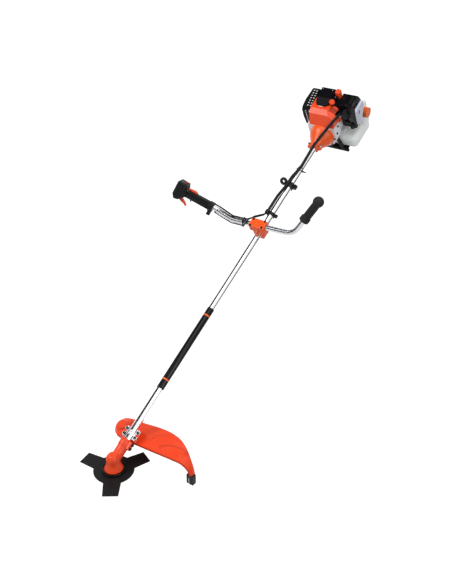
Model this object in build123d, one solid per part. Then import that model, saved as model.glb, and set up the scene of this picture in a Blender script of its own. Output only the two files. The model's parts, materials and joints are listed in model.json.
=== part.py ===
"""Petrol brush cutter with a bike handle, modelled as separate working pieces."""
from build123d import *
import math
import os

# ---------------------------------------------------------------- driving dimensions (mm)
slope = 30.0                 # tube against the blade plane, working attitude
clear = 0.4                  # gap between pieces that move past each other
run_fit = 0.03               # radial clearance of a journal in its bearing

tube_d = 26.0
tube_wall = 1.5
tube_shown = 1380.0          # bright length between gear case and clutch case
neck_end = 86.0              # gear case neck, measured from the axis crossing
neck_socket = 38.0           # tube depth inside the gear case neck
collar_socket = 46.0         # tube depth inside the clutch case collar
drive_d = 8.0
bush_length = 22.0
bush_pitch = 270.0

blade_d = 255.0
blade_t = 1.6
blade_bore = 25.4
blade_drop = 36.0            # blade plane below the axis crossing
blade_hub_r = 70.0
tooth_root_half = 29.0       # degrees
tooth_tip_half = 12.0
blade_phase = 66.5

case_r = 24.0
case_foot_r = 33.0
case_foot_rise = 23.0        # height of the conical foot
case_bottom = 28.0
case_top = 32.0
neck_r = 19.0
pinion_teeth = 14
gear_teeth = 19
mesh_far = 26.0              # apex to the large end of both bevel gears
mesh_near = 16.0
tooth_share = 0.32           # tooth thickness over circular pitch
addendum = 1.5
dedendum = 2.2
lower_bearing = (12.0, 28.0, 8.0)     # bore, outer diameter, width
upper_bearing = (7.0, 19.0, 6.0)
pinion_bearing = (8.0, 22.0, 7.0)
spindle_thread_d = 10.0
dish_r = 41.0
outer_flange_r = 27.0
nut_flats = 17.0

guard_roof = 28.0            # roof above the axis crossing
guard_wall = 3.0
guard_skirt = 30.0
guard_left = -104.0
guard_right = 252.0
guard_front = 86.0
guard_back = 205.0
guard_front_line = (         # share of the guard's width, share of its depth
    (0.04, 0.30), (0.056, 0.185), (0.107, 0.067), (0.166, 0.017), (0.23, 0.0), (0.385, 0.042),
    (0.522, 0.076), (0.643, 0.109), (0.77, 0.151), (0.868, 0.193), (0.938, 0.21), (1.0, 0.227))
guard_rim_line = (
    (0.028, 0.46), (0.0, 0.605), (0.011, 0.756), (0.129, 0.849), (0.239, 0.87), (0.374, 0.958),
    (0.522, 1.0), (0.629, 0.965), (0.713, 0.885), (0.812, 0.725), (0.902, 0.545), (1.0, 0.353))
guard_arch = (               # share of the width, drop below the roof
    (-0.006, 46.0), (0.0, 28.0), (0.017, 14.0), (0.056, 5.0), (0.124, 0.5), (0.18, 0.0), (0.643, 0.0),
    (0.77, 1.0), (0.854, 4.0), (0.91, 11.0), (0.952, 24.0), (0.98, 40.0), (1.0, 62.0))
guard_hem = ((0.975, 68.0), (0.933, 54.0), (0.868, 40.0), (0.77, 33.0), (0.12, 30.0), (0.02, 42.0))
pad_y = 112.0                # guard pad along the tube
pad_length = 42.0
pad_half = 32.0
saddle_t = 3.0

bar_d = 22.0
bar_wall = 1.5
bar_y = 1026.0
bar_lift = 34.0              # bar axis above the tube axis
bar_half = 34.0              # half length of the handle clamp along the bar
bar_corners = (              # x, behind the clamp, above its height; user's left end first
    (239.0, 111.0, 120.6), (149.0, 7.6, 0.0), (-118.0, -7.3, 0.0), (-185.0, 9.0, 4.0), (-352.0, 7.2, 81.3))
bar_bend_r = (62.0, 110.0)   # sharp left bend, easy right bends
grip_length = 116.0
grip_r = 16.0
throttle_roll = 42.0
throttle_start = 31.0        # collar after the right knee
throttle_collar_w = 19.0
throttle_grip_r = 18.0
throttle_grip_l = 102.0
throttle_head_l = 44.0
throttle_head_h = 78.0
throttle_head_w = 44.0
shell_wall = 2.5

clip_behind = 82.0           # cable clip behind the handlebar
eye_share = 153.0 / 358.0    # harness eye between the cable clip and the clutch case
tie_share = 84.0 / 205.0     # cable tie between the harness eye and the clutch case
eye_reach = 31.0             # eye centre from the tube axis
eye_hole_r = 5.5
eye_r = 16.0
eye_t = 7.0
eye_turn = 45.0              # eye turned to the user's right
band_t = 4.0

cable_r = 3.2
wire_r = 2.2
loom_r = 6.0
cable_along_bar = (          # x, turn from the back towards the top (degrees), distance off the bar
    (-206.5, 53.7, 4.2), (-184.0, 48.2, 2.65), (-117.0, 49.3, 0.8), (-54.0, 49.3, 0.6))
wire_along_bar = (
    (-204.0, 188.3, 0.4), (-184.0, 208.4, 2.4), (-118.0, 202.6, 0.6), (-62.0, 202.6, 0.5),
    (-53.0, 150.0, 4.5), (-45.0, 90.0, 5.0))
bar_tie_x = -64.0
tie_turn = 65.0              # place of the loom on the tube at the tie
tie_off = 2.5
clip_turn = 130.0            # place of the loom on the tube at the clip
loom_at_collar = (10.0, -4.0, 29.0)   # x, behind the collar's front edge, z
loom_over_cowl = (                    # x, behind the cowl's front edge, z
    (32.0, -16.0, 49.0), (54.0, 3.0, 75.5), (66.0, 20.0, 87.0))
loom_over_block = (68.0, 0.0, 84.0)   # x, behind the crankcase's front edge, z
loom_drop = (51.5, -11.5, 57.0)       # x, behind the carburettor's front edge, z
loom_end = (50.0, 56.0)      # x, z of the way into the intake shroud

collar_y = neck_end + tube_shown
case_length = 80.0
case_big_r = 52.0
collar_r = 21.0
drum_r = 37.0
drum_w = 22.0
cowl_depth = 44.0
cowl_wall = 3.0
fan_r = 61.0                 # round lower half of the fan case
fan_top = 48.0               # where the cowl sits on the fan case
flywheel_r = 50.0
crankcase_w = 76.0
crankcase_l = 98.0
crank_r = 7.0
web_r = 25.0
cylinder_set = 58.0          # cylinder axis behind the cowl
cylinder_bore = 40.0
piston_stroke = 32.0
drum_bearing = (12.0, 28.0, 9.0)
recoil_depth = 34.0
recoil_r = 56.0
cover_top = 129.0
duct_top = 100.0
tank_floor = -121.0
tank_roof = -61.0
tank_half = (-95.0, 108.0)
cap_r = 21.0
tank_wall = 2.5

cable_bend = 16.0
wire_bend = 6.0
cable_end = 1.5              # gap before the loom, inside the clip
loom_bend = 22.0
lever_w = 9.0
clamp_screw_r = 2.6
clamp_head_r = 4.4
clamp_half_w = 20.0
tail_r = 7.0                 # splined tail of the pinion
tail_length = 22.0
gear_bore_r = 4.5
knife_t = 1.6
boot_r = 11.0
primer_r = 12.0
primer_x = 92.0
primer_z = -15.0
pulley_r = 28.0
rope_turn = -20.0            # starter rope leaves the housing towards the user's right

# ---------------------------------------------------------------- derived places
tube_start = neck_end - neck_socket
tube_end = collar_y + collar_socket
tube_r = tube_d / 2
bar_r = bar_d / 2
cowl_y = collar_y + case_length
block_y = cowl_y + cowl_depth
block_end = block_y + crankcase_l
cylinder_y = block_y + cylinder_set
pinion_half = math.degrees(math.atan2(
    math.sin(math.radians(60)), gear_teeth / pinion_teeth + math.cos(math.radians(60))))
gear_half = 60.0 - pinion_half

bar_points = [Vector(x, bar_y + back, bar_lift + up) for x, back, up in bar_corners]
left_tip, left_bend, right_bend, right_knee, right_tip = bar_points
bar_tip_x = (right_tip - right_knee).length
grip_x0 = throttle_start + throttle_collar_w
head_x0 = grip_x0 + throttle_grip_l
head_x1 = head_x0 + throttle_head_l
pin_x = head_x0 + 27.0       # trigger pin, inside the head
pin_z = -26.0
lock_pin_x = head_x0 - 2.0
lock_pin_z = 15.0
clip_off = 1.2
carburettor_front = cylinder_y - 12.5
clip_y = bar_y + clip_behind
eye_y = clip_y + (collar_y - clip_y) * eye_share
tube_tie_y = eye_y + (collar_y - eye_y) * tie_share
knife_x = guard_right - 1.0
knife_y = guard_front + 23.0
drum_y = tube_end + drum_bearing[2] + 2
filter_y0 = cylinder_y - 14.0
filter_y1 = cylinder_y + 42.0
cap_y = cylinder_y + 63.0
cap_z = -4.0
recoil_y0 = block_end + clear
recoil_y1 = recoil_y0 + recoil_depth

side = math.radians(eye_turn)
eye_place = Vector(-eye_reach * math.sin(side), eye_y, eye_reach * math.cos(side))
tilt = Rot(slope, 0, 0)
head_place = Pos(*(-(tilt * Pos(eye_place)).position))


def to_shaft(shape):
    """Shaft frame, tube along +Y, into the object's frame."""
    return head_place * tilt * shape


def to_head(shape):
    """Gear head frame, spindle along Z, into the object's frame."""
    return head_place * shape


parts = {}


def prism_z(points, z0, z1):
    """Outline in the XY plane, extruded upwards."""
    return Pos(0, 0, z0) * extrude(make_face(Polyline(*points, close=True)), z1 - z0)


def inward(points, gap):
    """An open outline moved to the right of its direction by a wall's thickness."""
    moved = []
    for index, (a, b) in enumerate(points):
        before = points[max(index - 1, 0)]
        after = points[min(index + 1, len(points) - 1)]
        da, db = after[0] - before[0], after[1] - before[1]
        length = math.hypot(da, db)
        moved.append((a + gap * db / length, b - gap * da / length))
    return moved


def keep(name, shape, place):
    solids = shape.solids() if hasattr(shape, "solids") else [s for p in shape for s in p.solids()]
    parts[name] = place(Compound(children=list(solids)) if len(solids) > 1 else solids[0])


def rod(radius, y0, y1, x=0.0, z=0.0):
    """Round bar along Y between two stations."""
    return Pos(x, (y0 + y1) / 2, z) * Rot(90, 0, 0) * Cylinder(radius, abs(y1 - y0))


def post(radius, z0, z1, x=0.0, y=0.0):
    return Pos(x, y, (z0 + z1) / 2) * Cylinder(radius, abs(z1 - z0))


def bolt(radius, x0, x1, y, z):
    """Round bar along X."""
    return Pos((x0 + x1) / 2, y, z) * Rot(0, 90, 0) * Cylinder(radius, abs(x1 - x0))


def block(x0, x1, y0, y1, z0, z1, soft=0.0):
    shape = Pos((x0 + x1) / 2, (y0 + y1) / 2, (z0 + z1) / 2) * Box(x1 - x0, y1 - y0, z1 - z0)
    return fillet(shape.edges(), soft) if soft else shape


def ring(inner, outer, y0, y1):
    return rod(outer, y0, y1) - rod(inner, y0 - 1, y1 + 1)


def prism_x(points, x0, x1):
    """Outline in the YZ plane, extruded along X."""
    face = make_face(Plane.YZ * Polyline(*points, close=True))
    return Pos(x0, 0, 0) * extrude(face, x1 - x0, dir=(1, 0, 0))


def prism_y(points, y0, y1):
    """Outline in the XZ plane, extruded along Y."""
    face = make_face(Plane.XZ * Polyline(*points, close=True))
    return Pos(0, y0, 0) * extrude(face, y1 - y0, dir=(0, 1, 0))


# ---------------------------------------------------------------- gear head (head frame)
def bevel(teeth, half_angle, hub_r, phase):
    """Bevel gear on +Z with its apex at the origin."""
    half = math.radians(half_angle)
    near_z, far_z = mesh_near * math.cos(half), mesh_far * math.cos(half)
    far_r, near_r = mesh_far * math.sin(half), mesh_near * math.sin(half)
    inset = dedendum / math.cos(half)
    near_inset = inset * mesh_near / mesh_far
    core = Pos(0, 0, (near_z + far_z) / 2) * Cone(near_r - near_inset, far_r - inset, far_z - near_z)
    pitch = 2 * math.pi * far_r / teeth
    width = pitch * tooth_share
    tall = addendum + dedendum + 0.6
    rise = addendum - tall / 2
    seat = Plane(origin=(far_r + rise * math.cos(half), 0, far_z - rise * math.sin(half)),
                 x_dir=(0, 1, 0), z_dir=(math.sin(half), 0, math.cos(half)))
    small = mesh_near / mesh_far
    seat_near = Plane(origin=seat.origin * small, x_dir=(0, 1, 0), z_dir=seat.z_dir)
    tooth = loft([seat_near * Rectangle(width * small, tall * small), seat * Rectangle(width, tall)])
    gear = core
    for index in range(teeth):
        gear += Rot(0, 0, phase + index * 360 / teeth) * tooth
    return gear + post(hub_r, far_z - 0.5, far_z + 3)


def gear_case():
    neck = tilt * rod(neck_r, 0, neck_end)
    collar = tilt * rod(neck_r + 2, neck_end - 26, neck_end)
    body = post(case_r, -case_bottom + 4, 12) + Pos(0, 0, 12) * Sphere(case_r)
    body = body - post(case_r * 2, case_top, case_top + 30)
    foot_z = case_foot_rise / 2 - case_bottom
    body += Pos(0, 0, foot_z) * Cone(case_foot_r, case_r, case_foot_rise)
    lug = tilt * block(neck_r - 5, neck_r + 9, neck_end - 30, neck_end - 2, -11, 9, 2.5)
    web = tilt * block(-4, 4, 20, neck_end - 8, -neck_r - 5, -neck_r + 4, 1.5)
    case = body + neck + collar + lug + web
    bore, outer, width = lower_bearing
    seat_low = -case_bottom + 4
    case -= post(outer / 2, -case_bottom - 1, seat_low + width)
    case -= post(case_r - 6, seat_low + width, chamber_top())
    bore, outer, width = upper_bearing
    case -= post(outer / 2, chamber_top() - 1, chamber_top() + width)
    bore, outer, width = pinion_bearing
    case -= tilt * rod(outer / 2, 10, tube_start)
    case -= tilt * rod(neck_r - 5, 8, tube_start - 2 * width - 2)
    case -= tilt * rod(tube_r, tube_start, neck_end + 1)
    return case


def chamber_top():
    return mesh_far * math.cos(math.radians(gear_half)) + 3 + clear


def case_screws():
    """Two black pinch screws through the side lug of the neck."""
    screws = []
    for station in (neck_end - 23, neck_end - 9):
        head = tilt * bolt(5.0, neck_r + 9, neck_r + 14, station, -1)
        shank = tilt * bolt(3.0, tube_r + 1, neck_r + 9, station, -1)
        screws.append((head + shank) - tilt * bolt(2.5, neck_r + 11, neck_r + 15, station, -1))
    return screws


def gear_case_with_holes():
    case = gear_case()
    for station in (neck_end - 23, neck_end - 9):
        case -= tilt * bolt(3.0, tube_r + 1, neck_r + 10, station, -1)
    return case


def pinion():
    """Drive pinion, journal and the splined tail that takes the drive shaft."""
    bore, outer, width = pinion_bearing
    gear = bevel(pinion_teeth, pinion_half, 7.0, 180 / pinion_teeth - 90)
    far_z = mesh_far * math.cos(math.radians(pinion_half))
    gear = Rot(-90, 0, 0) * gear
    gear += rod(bore / 2, far_z, tube_start + 1)
    gear += rod(tail_r, tube_start, tube_start + tail_length)
    return tilt * (gear - rod(drive_d / 2, tube_start + 4, tube_start + tail_length + 1))


def head_bearings():
    bearings = []
    bore, outer, width = lower_bearing
    low = -case_bottom + 4
    bearings.append(post(outer / 2, low, low + width) - post(bore / 2 + run_fit, low - 1, low + width + 1))
    bore, outer, width = upper_bearing
    top = chamber_top()
    bearings.append(post(outer / 2, top, top + width) - post(bore / 2 + run_fit, top - 1, top + width + 1))
    bore, outer, width = pinion_bearing
    for start in (tube_start - width - clear, tube_start - 2 * width - clear):
        race = ring(bore / 2 + run_fit, outer / 2, start, start + width)
        bearings.append(tilt * race)
    return bearings


def output_gear():
    return bevel(gear_teeth, gear_half, 8.0, 90) - post(gear_bore_r, 0, 60)


def output_spindle():
    low_bore, top_bore = lower_bearing[0], upper_bearing[0]
    shoulder = -case_bottom + 4 + lower_bearing[2]
    spindle = post(low_bore / 2, dish_top(), shoulder)
    spindle += post(low_bore / 2 - 0.5, shoulder, 8)
    spindle += post(gear_bore_r, 8, chamber_top() - clear)
    spindle += post(top_bore / 2, chamber_top() - clear, chamber_top() + upper_bearing[2] - 0.5)
    return spindle + post(spindle_thread_d / 2, nut_bottom() - 3, dish_top())


def dish_top():
    return -blade_drop + blade_t / 2 + 3.5


def nut_bottom():
    return -blade_drop - blade_t / 2 - 4.0 - 10.0


def inner_flange():
    """Round dish above the blade, with the spigot that centres the blade's bore."""
    seat = -blade_drop + blade_t / 2
    dish = post(dish_r, seat, seat + 8) - post(dish_r - 3, seat + 2.5, seat + 9)
    dish += post(18, seat, dish_top())
    dish += post(blade_bore / 2 - 0.1, seat - blade_t + 0.3, seat)
    return dish - post(spindle_thread_d / 2, seat - 10, seat + 20)


def blade():
    outer, hub = blade_d / 2, blade_hub_r
    disc = post(hub, -blade_drop - blade_t / 2, -blade_drop + blade_t / 2)
    for index in range(3):
        turn = math.radians(blade_phase + 120 * index)
        root, tip = math.radians(tooth_root_half), math.radians(tooth_tip_half)
        corners = [(hub * 0.9, turn - root), (outer, turn - tip), (outer, turn + tip), (hub * 0.9, turn + root)]
        points = [(r * math.cos(a), r * math.sin(a)) for r, a in corners]
        disc += prism_z(points, -blade_drop - blade_t / 2, -blade_drop + blade_t / 2)
    return disc - post(blade_bore / 2, -blade_drop - 5, -blade_drop + 5)


def outer_flange():
    seat = -blade_drop - blade_t / 2
    flange = post(outer_flange_r, seat - 4, seat) - post(outer_flange_r - 4, seat - 1.2, seat + 1)
    flange += post(18, seat - 3.5, seat)
    return flange - post(spindle_thread_d / 2, seat - 10, seat + 10)


def blade_nut():
    seat = -blade_drop - blade_t / 2 - 4.0
    hexagon = extrude(RegularPolygon(nut_flats / 2, 6, major_radius=False), 8)
    nut = Pos(0, 0, seat - 10) * hexagon + post(11, seat - 2.5, seat)
    return nut - post(spindle_thread_d / 2, seat - 20, seat + 5)


# ---------------------------------------------------------------- blade guard (head frame)
def guard_plan(inset, z0, z1):
    """Upright block over the guard's plan: straight front edge, round back edge."""
    width, depth = guard_right - guard_left, guard_back - guard_front
    line = guard_front_line + guard_rim_line[::-1]
    face = make_face(Polyline(*[(guard_left + u * width, guard_front + v * depth) for u, v in line], close=True))
    if inset:
        face = offset(face, -inset, kind=Kind.INTERSECTION)
    return Pos(0, 0, z0) * extrude(face, z1 - z0)


def guard_side(line):
    """Side view of the guard from its shares of width and drops below the roof."""
    return [(guard_left + u * (guard_right - guard_left), guard_roof - drop) for u, drop in line]


def guard():
    """Moulded guard: a roof that turns down at both ends and a skirt along its back."""
    arch = guard_side(guard_arch)
    deep = [(guard_right + 30, -200), (guard_left - 30, -200)]
    y0, y1 = guard_front - 40, guard_back + 20
    filled = prism_y(arch + guard_side(guard_hem), y0, y1) & guard_plan(0, -60, guard_roof + 1)
    hollow = guard_plan(guard_wall, -80, guard_roof + 1)
    hollow += Pos(0, -guard_wall * 2, 0) * hollow
    shell = filled - (prism_y(inward(arch, guard_wall) + deep, y0, y1) & hollow)
    return shell + guard_pad()


def guard_pad():
    """Raised pad that carries the tube, cut off at the roof."""
    y0, y1 = pad_y - pad_length / 2, pad_y + pad_length / 2
    pad = tilt * block(-pad_half, pad_half, y0, y1, -90, -clear)
    pad = pad & block(-200, 200, 0, 400, guard_roof - guard_wall, 300)
    inner = tilt * block(-pad_half + 5, pad_half - 5, y0 + 5, y1 - 5, -90, -tube_r - 6)
    inner = inner & block(-200, 200, 0, 400, guard_roof - guard_wall - 1, 300)
    pad = pad - inner
    return pad - tilt * rod(tube_r, 0, 400)


def guard_saddle():
    """Pressed steel strap over the tube, with an ear on each side."""
    y0, y1 = pad_y - pad_length / 2 + 2, pad_y + pad_length / 2 - 2
    strap = ring(tube_r, tube_r + saddle_t, y0, y1) - block(-40, 40, y0 - 2, y1 + 2, -40, -clear)
    ears = block(-pad_half, -tube_r - 1, y0, y1, -clear, saddle_t - clear)
    ears += block(tube_r + 1, pad_half, y0, y1, -clear, saddle_t - clear)
    strap = strap + ears
    for x, y in saddle_screw_places():
        strap -= post(2.6, -10, 10, x, y)
    return strap


def saddle_screw_places():
    x = (pad_half + tube_r + saddle_t) / 2
    return [(sx * x, pad_y + sy * (pad_length / 2 - 11)) for sx in (-1, 1) for sy in (-1, 1)]


def guard_screws():
    screws = []
    for x, y in saddle_screw_places():
        head = post(4.5, saddle_t - clear, saddle_t + 3.4, x, y)
        head -= post(2.2, saddle_t + 1, saddle_t + 5, x, y)
        screws.append(head + post(2.6, -11, saddle_t - clear, x, y))
    return screws


def guard_with_holes():
    body = guard()
    for x, y in saddle_screw_places():
        body -= tilt * post(2.6, -11, 5, x, y)
    return body


def knife_block():
    """Moulded block inside the tail of the guard that holds the line knife."""
    low = guard_roof - guard_arch[-1][1] - 20
    base = block(knife_x - 24, knife_x + 3, knife_y, knife_y + 17, low, low + 38)
    slot = block(knife_x - 14, knife_x - 14 + knife_t, knife_y - 1, knife_y + 14, low - 10, low + 28)
    return base - slot - guard()


def line_knife():
    """Steel blade that trims the nylon line."""
    y0, y1 = knife_y - 1, knife_y + 14
    top = guard_roof - guard_arch[-1][1] + 8
    outline = [(y0, top), (y1, top), (y1, top - 36), (y0 + 7, top - 40), (y0, top - 34)]
    return prism_x(outline, knife_x - 14, knife_x - 14 + knife_t)


# ---------------------------------------------------------------- tube and drive line (shaft frame)
def shaft_tube():
    return ring(tube_r - tube_wall, tube_r, tube_start, tube_end)


def drive_shaft():
    return rod(drive_d / 2, tube_start + 5, drum_y + 3)


def shaft_bushes():
    """Plastic bushes that carry the drive shaft in the tube."""
    bushes = []
    station = tube_start + 130
    while station < tube_end - bush_length:
        shell = ring(drive_d / 2 + run_fit, tube_r - tube_wall, station, station + bush_length)
        for turn in range(4):
            groove = Rot(0, turn * 90, 0) * rod(2.2, station - 1, station + bush_length + 1, tube_r - tube_wall)
            shell -= groove
        bushes.append(shell)
        station += bush_pitch
    return bushes


# ---------------------------------------------------------------- swept round pieces
def swept(points, radii, outer):
    path = FilletPolyline(*points, radius=radii)
    return sweep((path ^ 0) * Circle(outer), path=path)


# ---------------------------------------------------------------- handlebar and its clamp (shaft frame)
def handlebar():
    radii = [bar_bend_r[0], bar_bend_r[1], bar_bend_r[1]]
    return swept(bar_points, radii, bar_r) - swept(bar_points, radii, bar_r - bar_wall)


def bar_core(radius):
    """Straight middle of the bar, longer than the clamp."""
    middle = Plane(origin=(left_bend + right_bend) * 0.5, z_dir=(left_bend - right_bend).normalized())
    return middle.location * Cylinder(radius, 4 * bar_half)


def bar_clamp_base():
    """Lower clamp: a collar on the tube with a trough for the bar."""
    y0, y1 = bar_y - clamp_half_w, bar_y + clamp_half_w
    body = block(-tube_r - 8, tube_r + 8, y0, y1, -tube_r - 7, bar_lift - 1, 3)
    body += block(-bar_half, bar_half, y0, y1, bar_lift - bar_r - 6, bar_lift - clear, 3)
    body -= rod(tube_r, y0 - 1, y1 + 1)
    body -= block(0, tube_r + 20, y0 - 1, y1 + 1, -0.8, 0.8)
    body -= bar_core(bar_r)
    for x, y in clamp_screw_places():
        body -= post(clamp_screw_r, bar_lift - bar_r - 7, bar_lift + 5, x, y)
    return body


def bar_clamp_cap():
    y0, y1 = bar_y - clamp_half_w, bar_y + clamp_half_w
    cap = block(-bar_half, bar_half, y0, y1, bar_lift + clear, bar_lift + bar_r + 5, 4)
    cap -= bar_core(bar_r)
    for x, y in clamp_screw_places():
        cap -= post(clamp_screw_r, bar_lift - 5, bar_lift + bar_r + 6, x, y)
        cap -= post(clamp_head_r + clear, bar_lift + bar_r + 1, bar_lift + bar_r + 6, x, y)
    return cap


def clamp_screw_places():
    lean = (left_bend.Y - right_bend.Y) / (left_bend.X - right_bend.X)
    middle = right_bend.Y - lean * right_bend.X
    x, beside = bar_half - 9, bar_r + clamp_screw_r + 1
    return [(sx * x, middle + lean * sx * x + sy * beside) for sx in (-1, 1) for sy in (-1, 1)]


def bar_clamp_screws():
    screws = []
    for x, y in clamp_screw_places():
        top = bar_lift + bar_r + 1
        screw = post(clamp_screw_r, bar_lift - bar_r - 6, top, x, y) + post(clamp_head_r, top, top + 5, x, y)
        screws.append(screw - post(2.3, top + 2, top + 6, x, y))
    return screws


def left_plane():
    arm = left_tip - left_bend
    return Plane(origin=left_bend, z_dir=arm.normalized()), arm.length


def left_grip():
    """Rubber grip with a flared foot and a round end bulb."""
    plane, reach = left_plane()
    end = reach + 4
    start = end - grip_length
    grip = post(grip_r, start + 6, end - 20) + post(grip_r + 3.5, start, start + 16)
    grip += Pos(0, 0, end - 21) * Sphere(grip_r + 5)
    grip = grip - post(grip_r * 3, end, end + 30)
    for index in range(9):
        level = start + 24 + index * 7.5
        grip -= post(grip_r + 2, level, level + 2.2) - post(grip_r - 0.9, level - 1, level + 4)
    grip -= post(bar_r, 0, reach)
    return plane.location * grip


def throttle_plane():
    """X runs outboard along the bar, Z towards the lock-out lever."""
    along = (right_tip - right_knee).normalized()
    lift = (Vector(0, 0, 1) - along * along.Z).normalized()
    back = along.cross(lift)
    if back.Y < 0:
        back = -back
    roll = math.radians(throttle_roll)
    up = lift * math.cos(roll) + back * math.sin(roll)
    return Plane(origin=right_knee, x_dir=along, z_dir=up)


def throttle_block():
    """Grip and flared head of the throttle handle before it is split."""
    grip = bolt(throttle_grip_r, grip_x0, head_x0 + 4, 0, 0)
    outline = [(head_x0, -16), (head_x0 + 22, -37), (head_x0 + 40, -40), (head_x1 + 7, -22),
               (head_x1 + 3, 32), (head_x1 - 4, 38), (head_x0 + 6, 37), (head_x0, 20)]
    head = prism_y(outline, -throttle_head_w / 2, throttle_head_w / 2)
    head = chamfer(head.faces().sort_by(Axis.Y)[0].edges() + head.faces().sort_by(Axis.Y)[-1].edges(), 5)
    return grip + head


def throttle_room():
    """Everything that the two shells leave open."""
    room = bolt(bar_r, grip_x0 - 1, bar_tip_x + 1, 0, 0)
    slot = lever_w / 2 + clear
    room += block(head_x0 + 4, head_x1 - 3, -slot, slot, -60, -16)
    room += block(head_x0 - 46, head_x0 + 4.5, -slot, slot, bar_r + 0.5, 30)
    room += block(head_x0 + 16, head_x1 - 3, -throttle_head_w / 2 + 6, throttle_head_w / 2 - 6, -14, 30)
    room += block(head_x0 + 8, head_x0 + 26, -4.4, 4.4, 29, 45)
    room += post(3.4, -30, -bar_r, head_x0 - 26, 0)
    return room


def throttle_shells():
    whole = throttle_block() - throttle_room()
    whole -= throttle_pins(0.0)
    front = whole & block(-10, 400, -100, -0.05, -100, 100)
    rear = whole & block(-10, 400, 0.05, 100, -100, 100)
    return front, rear


def throttle_pins(extra):
    pin = Pos(pin_x, 0, pin_z) * Rot(90, 0, 0) * Cylinder(2.0 + extra, throttle_head_w - 14)
    lock = Pos(lock_pin_x, 0, lock_pin_z) * Rot(90, 0, 0) * Cylinder(1.5 + extra, 24)
    return pin + lock


def trigger():
    """Curved throttle trigger that hangs on a pin in the head."""
    outline = [(pin_x + 5, pin_z - 5), (pin_x + 4, pin_z + 5), (pin_x - 5, pin_z + 4),
               (head_x0 + 4, -29), (head_x0 - 8, -37), (head_x0 - 18, -47), (head_x0 - 16, -52),
               (head_x0 - 4, -45), (head_x0 + 10, -41)]
    lever = prism_y(outline, -lever_w / 2, lever_w / 2)
    return lever - Pos(pin_x, 0, pin_z) * Rot(90, 0, 0) * Cylinder(2.0 + run_fit, 40)


def lock_out_lever():
    """Lever on top of the grip that frees the trigger."""
    outline = [(lock_pin_x + 3.5, lock_pin_z - 3), (lock_pin_x + 3.5, lock_pin_z + 5), (lock_pin_x - 6, 24),
               (lock_pin_x - 30, 26), (lock_pin_x - 40, 21.5), (lock_pin_x - 40, 17.6),
               (lock_pin_x - 6, 17.6), (lock_pin_x - 3.5, lock_pin_z - 3)]
    lever = prism_y(outline, -lever_w / 2, lever_w / 2)
    return lever - Pos(lock_pin_x, 0, lock_pin_z) * Rot(90, 0, 0) * Cylinder(1.5 + run_fit, 40)


def stop_switch():
    return block(head_x0 + 11, head_x0 + 19, -3.6, 3.6, 29 + clear, 42, 0.8)


def half_throttle_button():
    return post(3.0, -24.5, -bar_r - 3.5, head_x0 - 26, 0)


def throttle_collar():
    """Split collar that ties the handle to the bar, with its screw boss below."""
    x0, x1 = throttle_start, grip_x0 - clear
    collar = bolt(throttle_grip_r + 2.5, x0, x1, 0, 0) - bolt(bar_r, x0 - 1, x1 + 1, 0, 0)
    boss = block(x0 + 2, x1 - 2, -8, 8, -37, -throttle_grip_r + 4, 2.5)
    collar = collar + boss - bolt(bar_r, x0 - 1, x1 + 1, 0, 0)
    return collar - block(x0 - 1, x1 + 1, -0.8, 0.8, -40, -bar_r + 1)


# ---------------------------------------------------------------- cables, loom, clips (shaft frame)
def beside_bar(x, turn, reach):
    """Point at a distance from the bar's axis, turned from its back towards its top."""
    for a, b in zip(bar_points, bar_points[1:]):
        if b.X <= x <= a.X:
            axis = a + (b - a) * ((x - a.X) / (b.X - a.X))
    return axis + Vector(0, reach * math.cos(math.radians(turn)), reach * math.sin(math.radians(turn)))


def on_tube(y, turn, off=0.0):
    """Point where the loom's centre lies on the tube."""
    reach = tube_r + loom_r + off
    return Vector(reach * math.cos(math.radians(turn)), y, reach * math.sin(math.radians(turn)))


def beyond(y, place):
    """Point of the loom measured from a station along the tube."""
    x, back, z = place
    return Vector(x, y + back, z)


def control_cables():
    """Throttle cable and switch wire, from the throttle handle to the loom."""
    loom_start = on_tube(clip_y - 4, clip_turn, clip_off)
    cable = [beside_bar(x, turn, bar_r + cable_r + off) for x, turn, off in cable_along_bar]
    cable += [Vector(-30, bar_y + 30, bar_lift + 6), loom_start + Vector(-3.2, -20, 7.5)]
    cable += [loom_start + Vector(-1.8, -cable_end, -1.4)]
    wire = [beside_bar(x, turn, bar_r + wire_r + off) for x, turn, off in wire_along_bar]
    wire += [Vector(-31, bar_y + 26, bar_lift + 15), loom_start + Vector(2.0, -18, 14.0)]
    wire += [loom_start + Vector(2.2, -cable_end, 3.4)]
    return [swept(cable, cable_bend, cable_r), swept(wire, wire_bend, wire_r)]


def cable_loom():
    """Corrugated sleeve that holds both cables, from the clip to the carburettor."""
    over_band = band_t + 2.5
    end_x, end_z = loom_end
    points = [on_tube(clip_y - 4, clip_turn, clip_off), on_tube(eye_y - 71, clip_turn, clip_off)]
    points += [on_tube(eye_y - 21, 88, over_band), on_tube(eye_y + 29, 86, over_band)]
    points += [on_tube(tube_tie_y + 5, tie_turn, tie_off)]
    points += [beyond(collar_y, loom_at_collar)]
    points += [beyond(cowl_y, place) for place in loom_over_cowl]
    points += [beyond(block_y, loom_over_block), beyond(carburettor_front, loom_drop)]
    points += [Vector(end_x, carburettor_front, end_z)]
    return swept(points, loom_bend, loom_r)


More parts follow.
